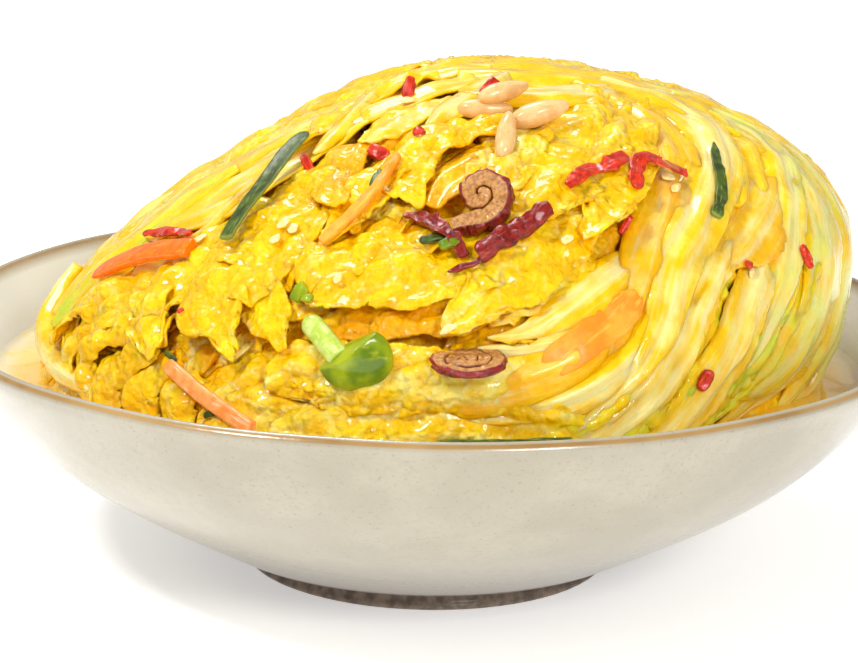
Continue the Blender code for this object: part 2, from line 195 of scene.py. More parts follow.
def curve_through(points: tuple[Point, ...], count: int) -> np.ndarray:
    """Evenly spaced points of a Catmull-Rom curve.

    Args:
        points: the points it passes.
        count: how many points to return.

    Returns:
        An array of that many points.
    """
    given = np.array(points, float)
    ends = np.vstack([2 * given[0] - given[1], given, 2 * given[-1] - given[-2]])
    fine = []
    for a, b, c, d in zip(ends, ends[1:], ends[2:], ends[3:]):
        t = np.linspace(0.0, 1.0, 16, endpoint=False)[:, None]
        fine.append(
            b + (c - a) * t / 2 + (2 * a - 5 * b + 4 * c - d) * t**2 / 2 + (3 * b - a - 3 * c + d) * t**3 / 2
        )
    line = np.vstack([*fine, given[-1:]])
    travelled = np.concatenate([[0.0], np.cumsum(np.linalg.norm(np.diff(line, axis=0), axis=1))])
    steps = np.linspace(0.0, travelled[-1], count)
    return np.stack([np.interp(steps, travelled, line[:, i]) for i in range(3)], axis=1)


def smooth_noise(points: np.ndarray, size: float, seed: float = 0.0) -> np.ndarray:
    """Perlin noise from about -1 to 1 with features of the given size, at each point."""
    shift = np.array([seed * 7.31, seed * 3.17, seed * 5.77])
    return np.array([noise.noise(Vector(p)) for p in points / size + shift]) * 1.6


def billow(points: np.ndarray, size: float, seed: float = 0.0) -> np.ndarray:
    """Rounded humps from 0 to 1 with sharp valleys, as on a puckered leaf."""
    return np.minimum(1.0, np.abs(smooth_noise(points, size, seed)) * 1.5)


# ---------------------------------------------------------------- the heap's plain form


@dataclass
class Mound:
    """The heap's plain form in millimetres, as the CAD heap has it."""

    broth: float
    wall: tuple[np.ndarray, np.ndarray]  # heights and radii of the bowl's inside
    crown: Point = (6.5, 6.0, 134.5)
    radius: float = 107.5
    reach_right: float = 5.5
    pool_azimuth: float = -36.0
    pool_spread: float = 23.0
    pool_at_widest: float = 8.0
    pool_at_broth: float = 12.0
    tuck: tuple[float, float] = (-0.5, 3.0)
    widest: Point = (68.0, 8.2, 6.1)
    bulge: Point = (1.85, 0.47, -0.08)
    settle: float = 2.4  # how far the leaves' heights are counted from under the plain form

    @cached_property
    def table(self) -> tuple[np.ndarray, ...]:
        """Direction from the crown's axis, reach, widest height, exponent and draw-in, by azimuth."""
        turn = np.radians(np.arange(-200.0, 201.0, 1.0))
        off = (np.degrees(turn) - self.pool_azimuth + 180.0) % 360.0 - 180.0
        pool = np.exp(-((off / self.pool_spread) ** 2))
        radius = self.radius + self.reach_right * np.cos(turn) - self.pool_at_widest * pool
        x = radius * np.cos(turn) - self.crown[0]
        y = radius * np.sin(turn) - self.crown[1]
        height = self.widest[0] + self.widest[1] * np.cos(turn) + self.widest[2] * np.cos(2 * turn)
        power = self.bulge[0] + self.bulge[1] * np.cos(turn) + self.bulge[2] * np.cos(2 * turn)
        drawn = self.tuck[0] + self.tuck[1] * np.cos(turn) + self.pool_at_broth * pool
        bearing = np.unwrap(np.arctan2(y, x))
        bearing += math.tau * round((turn[0] - bearing[0]) / math.tau)
        return bearing, np.hypot(x, y), height, power, drawn

    def project(self, points: np.ndarray) -> tuple[np.ndarray, np.ndarray]:
        """Brings points onto the mound.

        Args:
            points: an array of points near it.

        Returns:
            The points on the mound and its outward normals there.
        """
        direction, reach, height, power, drawn = self.table
        flat = points[:, :2] - np.array(self.crown[:2])
        bearing = np.arctan2(flat[:, 1], flat[:, 0])
        reach, height, power, drawn = (
            np.interp(bearing, direction, column) for column in (reach, height, power, drawn)
        )
        away = np.maximum(np.hypot(flat[:, 0], flat[:, 1]), 1e-6)
        out = flat / away[:, None]
        up = (points[:, 2] - height) / (self.crown[2] - height)
        across = away / reach
        above = up > 0.0
        rise = np.maximum(up, 0.0)
        grown = np.maximum((across**power + rise**power) ** (1.0 / power), 1e-6)
        down = np.clip((height - points[:, 2]) / (height - self.broth), 0.0, 3.0)
        flank = reach - drawn * down * down
        radius = np.where(above, away / grown, flank)
        level = np.where(above, height + (points[:, 2] - height) / grown, points[:, 2])
        placed = np.column_stack([np.array(self.crown[:2]) + out * radius[:, None], level])
        lean_out = np.where(above, (across / grown) ** (power - 1.0) / reach, 1.0)
        lean_up = np.where(
            above,
            (rise / grown) ** (power - 1.0) / (self.crown[2] - height),
            -2.0 * drawn * down / (height - self.broth),
        )
        normals = np.column_stack([out * lean_out[:, None], lean_up])
        return placed, normals / np.linalg.norm(normals, axis=1)[:, None]

    def kept_inside(self, points: np.ndarray, gap: float = 1.0) -> np.ndarray:
        """Draws points in that would come through the bowl's wall."""
        heights, radii = self.wall
        most = np.interp(points[:, 2], heights, radii, right=1e3) - gap
        reach = np.hypot(points[:, 0], points[:, 1])
        drawn = np.minimum(1.0, most / np.maximum(reach, 1e-6))
        return np.column_stack([points[:, :2] * drawn[:, None], points[:, 2]])

    def at(self, azimuth: float, rise: float) -> Point:
        """Point of the mound at an azimuth, and a rise of 90 at the crown and 0 at its widest."""
        direction = math.radians(azimuth)
        _, reach, height, power, _ = self.table
        place = np.interp(direction, self.table[0], reach), np.interp(direction, self.table[0], height)
        bend = 2.0 / float(np.interp(direction, self.table[0], power))
        turn = math.radians(max(rise, 0.0))
        across = place[0] * max(math.cos(turn), 0.0) ** bend
        level = place[1] + (self.crown[2] - place[1]) * math.sin(turn) ** bend
        level += min(rise, 0.0) * (place[1] - self.broth) / 30.0
        return (
            self.crown[0] + across * math.cos(direction),
            self.crown[1] + across * math.sin(direction),
            float(level),
        )


# ---------------------------------------------------------------- leaves


@dataclass(frozen=True)
class Tint:
    """How pale, how green and how deep orange a leaf is, from 0 to 1."""

    pale: float = 0.0
    green: float = 0.0
    deep: float = 0.0
    pale_reach: float = 0.55  # share of the half width that stays pale


class Tints(Enum):
    """The tints that the leaves come in."""

    CREAM = Tint(0.7, 0.0, 0.0, 0.2)
    CREAM_ORANGE = Tint(0.5, 0.0, 0.5, 0.15)
    CREAM_GREEN = Tint(0.8, 0.4, 0.0, 0.4)
    LIGHT = Tint(0.38, 0.03, 0.06, 0.8)
    YELLOW = Tint(0.0, 0.0, 0.2, 0.6)
    YELLOW_GREEN = Tint(0.2, 0.85, 0.0, 0.6)
    LIME = Tint(0.3, 0.6, 0.0, 0.7)
    # deep orange for the lower flaps in the hollows: partly the juice's own colour, partly painted shade
    ORANGE = Tint(-0.1, 0.0, 0.8, 0.5)


def along(values: tuple[float, ...], share: np.ndarray) -> np.ndarray:
    """Evenly spaced values read at shares of the way from the first to the last."""
    return np.interp(share, np.linspace(0.0, 1.0, len(values)), values)


def eased(share: np.ndarray) -> np.ndarray:
    """Smooth step from 0 to 1, held outside."""
    held = np.clip(share, 0.0, 1.0)
    return held * held * (3.0 - 2.0 * held)


@dataclass
class Leaf:
    """One leaf, rib or sheet laid over the mound, in millimetres.

    The positive side is the right one where the spine runs down and the lower one where it runs left.
    """

    spine: tuple[Point, ...]
    width: tuple[float, ...]  # half width, from the spine's start to its end
    height: tuple[float, ...] = (1.0,)  # of the middle above the mound
    dome: float = 0.5  # how far the middle stands over the margins
    tilt: float = 0.0  # how far the positive margin stands over the other
    margins: tuple[float, float] = (-20.0, 0.0)  # degrees that the negative and positive margin turn up
    tip: float = 0.0  # degrees that the end turns up
    ragged: float = 0.0
    ragged_tip: float = 0.0
    wave: float = 0.0
    wave_length: float = 10.0
    pucker: float = 0.0
    pucker_size: float = 5.5
    folds: float = 0.0  # long folds beside the spine
    rumple: float = 0.5
    strands: float = 0.22  # fine ridges lengthwise
    frill: float = 0.0  # crinkles towards the margins
    tint: Tints = Tints.YELLOW
    spacing: float = 0.98
    seed: int = 0

    def lay(self, mound: Mound) -> "Cloth":
        """Works out the leaf's points.

        Args:
            mound: what it lies on.

        Returns:
            Its points with the values for its finish.
        """
        line = curve_through(self.spine, 60)
        length = float(np.linalg.norm(np.diff(line, axis=0), axis=1).sum())
        rows = max(8, round(length / self.spacing))
        columns = max(6, round(2.0 * max(self.width) / self.spacing))
        share = np.linspace(0.0, 1.0, rows + 1)
        across = np.linspace(-1.0, 1.0, columns + 1)
        seeded = self.seed * 13.7

        # The spine, with its end turned up or down
        turn = np.radians(self.tip) * eased((share - 0.72) / 0.28)
        gone = np.concatenate([[0.0], np.cumsum(np.cos(turn[1:]))]) / rows
        lifted = np.concatenate([[0.0], np.cumsum(np.sin(turn[1:]))]) / rows * length

        # Ragged ends
        tip_cut = self.ragged_tip * (
            smooth_noise(np.column_stack([across * max(self.width), across * 0 + seeded, across * 0]), 5.0)
            + 0.5 * smooth_noise(np.column_stack([across * max(self.width), across * 0 + seeded + 9, across * 0]), 2.0)
        )
        run = gone[:, None] + (tip_cut / length)[None, :] * eased((share - 0.45) / 0.55)[:, None]
        round_off = 1.0 - 0.16 * eased((share[:, None] - 0.6) / 0.4) * across[None, :] ** 2
        run = run * round_off

        # Sections, from the spine outwards
        places = np.column_stack([share * length, share * 0 + seeded, share * 0])
        half = []
        for side in (-1.0, 1.0):
            edge = places + np.array([0.0, 0.0, side * 31.0])
            cut = self.ragged * (smooth_noise(edge, 7.0) + 0.3 * (billow(edge, 2.6) - 0.5))
            half.append(np.maximum(0.2, along(self.width, share) + cut))
        bent = eased((np.abs(across) - 0.35) / 0.65)
        angle = np.radians(np.where(across < 0.0, self.margins[0], self.margins[1])) * bent
        step = 2.0 / columns
        middle = columns // 2
        flat = np.cos(angle) * step
        rise = np.sin(angle) * step
        out = np.zeros(columns + 1)
        up = np.zeros(columns + 1)
        out[middle + 1 :] = np.cumsum(flat[middle + 1 :])
        up[middle + 1 :] = np.cumsum(rise[middle + 1 :])
        out[:middle] = -np.cumsum(flat[:middle][::-1])[::-1]
        up[:middle] = np.cumsum(rise[:middle][::-1])[::-1]
        width = np.where(across[None, :] < 0.0, half[0][:, None], half[1][:, None])
        sideways = width * out[None, :]
        height = width * up[None, :]

        # On the mound
        line, faced = mound.project(line)
        steps = np.linspace(0.0, 1.0, len(line))
        heading = np.gradient(line, axis=0)
        heading /= np.linalg.norm(heading, axis=1)[:, None]
        beside = np.cross(faced, heading)
        beside /= np.linalg.norm(beside, axis=1)[:, None]

        def read(column: np.ndarray, where: np.ndarray) -> np.ndarray:
            return np.stack([np.interp(where, steps, column[:, i]) for i in range(3)], axis=-1)

        inside = np.clip(run, 0.0, 1.0)
        over = ((run - inside) * length)[..., None] * heading[-1]
        base = read(line, inside) + over + read(beside, inside) * sideways[..., None]
        placed, normal = mound.project(base.reshape(-1, 3))
        u, v = np.broadcast_arrays(share[:, None], across[None, :])

        phase = smooth_noise(places, 14.0)[:, None] * 2.5
        ruffle = np.sin(math.tau * u * length / self.wave_length + phase + np.where(v < 0, 1.9, 0.0) + seeded)
        height = height + along(self.height, share)[:, None] + lifted[:, None]
        height = height + self.dome * (1.0 - v * v) + self.tilt * v
        height = height + self.wave * ruffle * np.abs(v) ** 1.6
        if self.folds:
            drift = smooth_noise(places, 25.0)[:, None]
            height = height + self.folds * np.cos(v * 6.5 + drift * 2.0 + seeded) * (1.0 - 0.5 * v * v)
        height = height.reshape(-1)
        shifted = placed + np.array([seeded, 0.0, 0.0])
        if self.pucker:
            height = height + self.pucker * (billow(shifted, self.pucker_size) - 0.4)
            height = height + 0.35 * self.pucker * (billow(shifted, self.pucker_size * 0.42) - 0.4)
        if self.rumple:
            height = height + self.rumple * smooth_noise(shifted, 11.0)
        if self.strands:
            lengthwise = np.column_stack([(u * length).ravel() / 5.0, (v * width).ravel(), placed[:, 0] * 0 + seeded])
            height = height + self.strands * smooth_noise(lengthwise, 2.4)
        if self.frill:
            crinkle = billow(shifted, 3.6) + 0.5 * billow(shifted, 1.7) - 0.7
            height = height + self.frill * crinkle * eased((np.abs(v).ravel() - 0.3) / 0.5)
        points = mound.kept_inside(placed + normal * (height[:, None] - mound.settle))

        tint = self.tint.value
        mottled = smooth_noise(shifted, 9.0)
        streak = smooth_noise(np.column_stack([(u * length).ravel() / 9.0, (v * width).ravel(), placed[:, 0] * 0 + seeded]), 2.2)
        fade = 1.0 - eased((np.abs(v).ravel() - tint.pale_reach) / (1.02 - tint.pale_reach))
        pale = tint.pale * fade + 0.2 * streak + 0.1 * mottled
        green = tint.green * (0.75 + 0.6 * mottled) + 0.0 * streak
        deep = tint.deep * (0.8 + 0.5 * mottled) + 0.12 * (1.0 - fade)
        tone = np.clip(np.column_stack([pale, green, deep, np.ones_like(pale)]), 0.0, 1.0)
        fibre = np.column_stack([(u * length).ravel(), (v * width).ravel(), placed[:, 0] * 0 + seeded])
        return Cloth(points, fibre, tone, rows, columns)


@dataclass
class Cloth:
    """Points of a leaf as a grid of rows by columns, in millimetres."""

    points: np.ndarray
    fibre: np.ndarray
    tone: np.ndarray
    rows: int
    columns: int

    def add_to(self, form: bmesh.types.BMesh) -> None:
        """Adds the grid to a bmesh, with its values as attributes."""
        tone = form.verts.layers.float_color.get("tone") or form.verts.layers.float_color.new("tone")
        fibre = form.verts.layers.float_vector.get("fibre") or form.verts.layers.float_vector.new("fibre")
        made = bmesh.ops.create_grid(form, x_segments=self.rows, y_segments=self.columns, size=1.0)["verts"]
        for vert in made:
            row = round((vert.co.x + 1.0) / 2.0 * self.rows)
            column = round((vert.co.y + 1.0) / 2.0 * self.columns)
            index = row * (self.columns + 1) + column
            vert.co = Vector(self.points[index]) * MM
            vert[tone] = Vector(self.tone[index])
            vert[fibre] = Vector(self.fibre[index]) * MM


class Ground:
    """The laid leaves as a surface that toppings come to rest on, in millimetres."""

    def __init__(self, mound: Mound, eye: Point) -> None:
        """Starts with no leaves; the eye is in metres."""
        self.mound = mound
        self.eye = np.array(eye) / MM
        self.points: list[np.ndarray] = []
        self.faces: list[np.ndarray] = []
        self.count = 0

    def add(self, cloth: Cloth) -> None:
        """Adds a leaf."""
        index = np.arange(self.count, self.count + len(cloth.points)).reshape(cloth.rows + 1, -1)
        quads = np.stack([index[:-1, :-1], index[1:, :-1], index[1:, 1:], index[:-1, 1:]], axis=-1)
        self.points.append(cloth.points)
        self.faces.append(quads.reshape(-1, 4))
        self.count += len(cloth.points)

    @cached_property
    def tree(self) -> BVHTree:
        """Search tree of all the leaves."""
        return BVHTree.FromPolygons(np.vstack(self.points).tolist(), np.vstack(self.faces).tolist())

    def drop(self, point: Point, spread: float = 0.0) -> tuple[np.ndarray, np.ndarray, np.ndarray, float]:
        """Finds the leaf that stands in front of a point of the mound.

        Args:
            point: a place near the mound.
            spread: radius over which the foremost leaf counts.

        Returns:
            The point on the mound, the mound's normal, the way to the eye, and how far along it the leaf is.
        """
        placed, normal = self.mound.project(np.array([point], float))
        start, away = placed[0], normal[0]
        view = self.eye - start
        view /= np.linalg.norm(view)
        aside = np.cross(view, (0.0, 0.0, 1.0))
        other = np.cross(view, aside)
        turns = [k * math.tau / 6 for k in range(6)] if spread else []
        shifts = [np.zeros(3)] + [(aside * math.cos(t) + other * math.sin(t)) * spread for t in turns]
        best = -8.0
        for shift in shifts:
            hit = self.tree.ray_cast(Vector(start + shift + view * 30.0), Vector(-view), 45.0)
            if hit[0] is not None:
                best = max(best, 30.0 - hit[3])
        return start, away, view, best

    def rest(self, point: Point, height: float, spread: float = 1.0) -> tuple[Vector, Vector]:
        """Where the middle of something lies that hides the point and stands off the leaves by the height."""
        start, away, view, best = self.drop(point, spread)
        return Vector(start + view * (best + height / max(0.45, float(view @ away)))), Vector(away)


# ---------------------------------------------------------------- finishes


@dataclass(frozen=True)
class LeafFinish:
    """Soaked cabbage: cream ribs, yellow blades with pale veins, orange where the juice gathers, and orange painted
    shade in the hollows and in the valleys between the puckers.
    """

    yellow: str = "FFBA00"
    light_yellow: str = "FFD010"
    cream: str = "F8DC7A"
    green: str = "C9D61E"
    orange: str = "FB9E00"
    cell: float = 1.9  # size of the puckers, mm
    pucker: float = 0.0011  # their height
    thread: float = 0.0002  # height of the fibres
    veins: float = 0.35  # how clearly the veins show
    streaks: float = 2.2  # how streaky the pale parts are
    shine: float = 0.2

    @staticmethod
    def warped(tree: bpy.types.NodeTree, where: object) -> object:
        """Coordinates pushed about a little, so that the puckers aren't regular."""
        shove = add_node(tree, "ShaderNodeTexNoise", {}, {"Vector": where, "Scale": 260.0, "Detail": 2.0})
        moved = add_node(
            tree, "ShaderNodeVectorMath", {"operation": "MULTIPLY_ADD"},
            {0: shove.outputs["Color"], 1: (0.003, 0.003, 0.003), 2: where},
        )
        return moved.outputs[0]

    @staticmethod
    def vein_lines(tree: bpy.types.NodeTree, fibre: object) -> object:
        """Pale veins branching off the middle of the leaf, from 0 to 1."""
        run = add_node(tree, "ShaderNodeSeparateXYZ", {}, {0: fibre})
        aside = add_node(tree, "ShaderNodeMath", {"operation": "ABSOLUTE"}, {0: run.outputs["Y"]}).outputs[0]
        slant = add_node(
            tree, "ShaderNodeMath", {"operation": "MULTIPLY_ADD"}, {0: aside, 1: -0.9, 2: run.outputs["X"]}
        ).outputs[0]
        spot = add_node(tree, "ShaderNodeCombineXYZ", {}, {0: slant, 1: aside}).outputs[0]
        bands = add_node(
            tree, "ShaderNodeTexWave", {"bands_direction": "X"},
            {"Vector": spot, "Scale": 44.0, "Distortion": 3.0, "Detail": 2.0, "Detail Scale": 1.5},
        ).outputs["Fac"]
        return scaled(tree, bands, 0.86, 1.0)

    def make(self, name: str) -> bpy.types.Material:
        """Makes the material.

        Args:
            name: its name.

        Returns:
            The material.
        """
        made, shader = start_material(
            name,
            {
                "Roughness": self.shine,
                "Subsurface Weight": 0.4,
                "Subsurface Scale": 0.004,
                "Subsurface Radius": (1.0, 0.65, 0.15),
                "Specular IOR Level": 0.15,
                "Coat Weight": 0.7,
                "Coat Roughness": 0.03,
                "Coat IOR": 1.34,
                "IOR": 1.35,
            },
        )
        tree = made.node_tree
        where = object_coords(tree)
        tone = add_node(tree, "ShaderNodeAttribute", {"attribute_name": "tone"}).outputs["Color"]
        split = add_node(tree, "ShaderNodeSeparateColor", {}, {"Color": tone})
        fibre = add_node(tree, "ShaderNodeAttribute", {"attribute_name": "fibre"}).outputs["Vector"]
        drawn = add_node(tree, "ShaderNodeMapping", {}, {"Vector": fibre, "Scale": (0.1, 1.0, 1.0)}).outputs["Vector"]
        blotch = noise_at(tree, where, 7.0)
        grain = noise_at(tree, where, 1.3, 5.0)
        strand = noise_at(tree, drawn, 1.0, 4.0)
        streak = noise_at(tree, drawn, 3.2, 3.0)
        vein = self.vein_lines(tree, fibre)
        cells = add_node(
            tree, "ShaderNodeTexVoronoi", {"feature": "SMOOTH_F1"},
            {"Vector": self.warped(tree, where), "Scale": 1000.0 / self.cell, "Smoothness": 0.5},
        ).outputs["Distance"]
        body = mix_colours(tree, scaled(tree, blotch, 0.42, 0.66), srgb(self.yellow), srgb(self.light_yellow))
        pale = add_node(
            tree, "ShaderNodeMath", {"operation": "MULTIPLY_ADD"}, {0: streak, 1: self.streaks, 2: split.outputs["Red"]}
        ).outputs[0]
        pale = add_node(tree, "ShaderNodeMath", {"operation": "MULTIPLY_ADD"}, {0: strand, 1: 0.8, 2: pale}).outputs[0]
        pale = add_node(tree, "ShaderNodeMath", {"operation": "MULTIPLY_ADD"}, {0: blotch, 1: 1.1, 2: pale}).outputs[0]
        pale = add_node(tree, "ShaderNodeMath", {"operation": "MULTIPLY_ADD"}, {0: vein, 1: self.veins, 2: pale}).outputs[0]
        body = mix_colours(tree, scaled(tree, pale, 1.1 + self.streaks / 2, 2.1 + self.streaks / 2), body, srgb(self.cream))
        green = add_node(
            tree, "ShaderNodeMath", {"operation": "MULTIPLY"}, {0: split.outputs["Green"], 1: scaled(tree, blotch, 0.25, 0.6)}
        ).outputs[0]
        body = mix_colours(tree, green, body, srgb(self.green))
        # painted shade: orange grows in the valleys between the puckers (the cells), on top of each leaf's own orange
        # from the tone's blue
        deep = add_node(
            tree, "ShaderNodeMath", {"operation": "MULTIPLY_ADD"}, {0: cells, 1: 0.35, 2: split.outputs["Blue"]}
        ).outputs[0]
        body = mix_colours(tree, scaled(tree, deep, 0.15, 1.35), body, srgb(self.orange))
        tree.links.new(body, shader.inputs["Base Color"])
        domes = add_node(
            tree, "ShaderNodeBump", {"invert": True}, {"Height": cells, "Distance": self.pucker, "Strength": 0.9}
        )
        fine = add_node(
            tree, "ShaderNodeBump", {}, {"Height": strand, "Distance": self.thread, "Strength": 0.7, "Normal": domes.outputs[0]}
        )
        bump = add_node(
            tree, "ShaderNodeBump", {}, {"Height": grain, "Distance": 0.0004, "Strength": 0.5, "Normal": fine.outputs[0]}
        )
        tree.links.new(bump.outputs["Normal"], shader.inputs["Normal"])
        return made


# ---------------------------------------------------------------- cabbage


def group_leaves(
    name: str, leaves: list[Leaf], mound: Mound, ground: Ground, finish: bpy.types.Material, thickness: float
) -> bpy.types.Object:
    """Lays leaves and joins them as one piece.

    Args:
        name: the piece's name.
        leaves: the leaves.
        mound: what they lie on.
        ground: collects them for the toppings.
        finish: their material.
        thickness: of the leaves, in millimetres.

    Returns:
        The piece.
    """
    form = bmesh.new()
    for leaf in leaves:
        cloth = leaf.lay(mound)
        ground.add(cloth)
        cloth.add_to(form)
    piece = finish_piece(name, form, finish, ("cabbage_heap",))
    thicken = piece.modifiers.new("thickness", "SOLIDIFY")
    thicken.thickness = thickness * MM
    thicken.offset = -1.0
    return piece


@dataclass
class Core:
    """What lies under the leaves: the mound drawn in and crumpled, down to the bowl's floor."""

    sunk: float = 5.0
    floor: float = 14.0
    turned: int = 200
    risen: int = 120

    def build(self, mound: Mound, ground: Ground, finish: bpy.types.Material) -> bpy.types.Object:
        """Makes the core.

        Args:
            mound: its form.
            ground: collects it.
            finish: its material.

        Returns:
            The piece.
        """
        form = bmesh.new()
        bmesh.ops.create_uvsphere(form, u_segments=self.turned, v_segments=self.risen, radius=1.0)
        tone = form.verts.layers.float_color.new("tone")
        fibre = form.verts.layers.float_vector.new("fibre")
        for vert in form.verts:
            azimuth = math.degrees(math.atan2(vert.co.y, vert.co.x))
            rise = math.degrees(math.asin(max(-1.0, min(1.0, vert.co.z))))
            place = np.array(mound.at(azimuth, max(rise, -30.0)))
            if rise < -30.0:
                share = (-30.0 - rise) / 60.0
                inward = 1.0 - 0.45 * share if share < 0.8 else max(0.0, (1.0 - share) / 0.2) * 0.64
                place[:2] *= inward
                place[2] = max(self.floor, place[2] - 48.0 * share)
            vert.co = Vector(place)
            vert[tone] = Vector((0.15, 0.1, 0.15, 1.0))
            vert[fibre] = Vector(place) * MM
        points = np.array([vert.co[:] for vert in form.verts])
        placed, normal = mound.project(points)
        crumple = 1.6 * smooth_noise(points, 10.0) + 0.9 * smooth_noise(points, 4.0)
        above = np.clip((points[:, 2] - mound.broth + 4.0) / 8.0, 0.0, 1.0)
        held = np.maximum(points[:, 2], mound.broth)
        drawn = mound.project(np.column_stack([points[:, :2], held]))[0]
        waist = np.minimum(1.0, np.hypot(drawn[:, 0], drawn[:, 1]) / np.maximum(np.hypot(points[:, 0], points[:, 1]), 1e-6))
        points = np.column_stack([points[:, :2] * waist[:, None], points[:, 2]])
        moved = points + normal * ((crumple - self.sunk) * above)[:, None]
        moved = mound.kept_inside(moved, 3.0)
        for vert, point in zip(form.verts, moved):
            vert.co = Vector(point) * MM
        ground.points.append(moved)
        form.verts.ensure_lookup_table()
        ground.faces.append(
            np.array([[v.index for v in face.verts] if len(face.verts) == 4 else [v.index for v in face.verts] + [face.verts[0].index] for face in form.faces])
            + ground.count
        )
        ground.count += len(moved)
        return finish_piece("leaf_core", form, finish, ("cabbage_heap",))


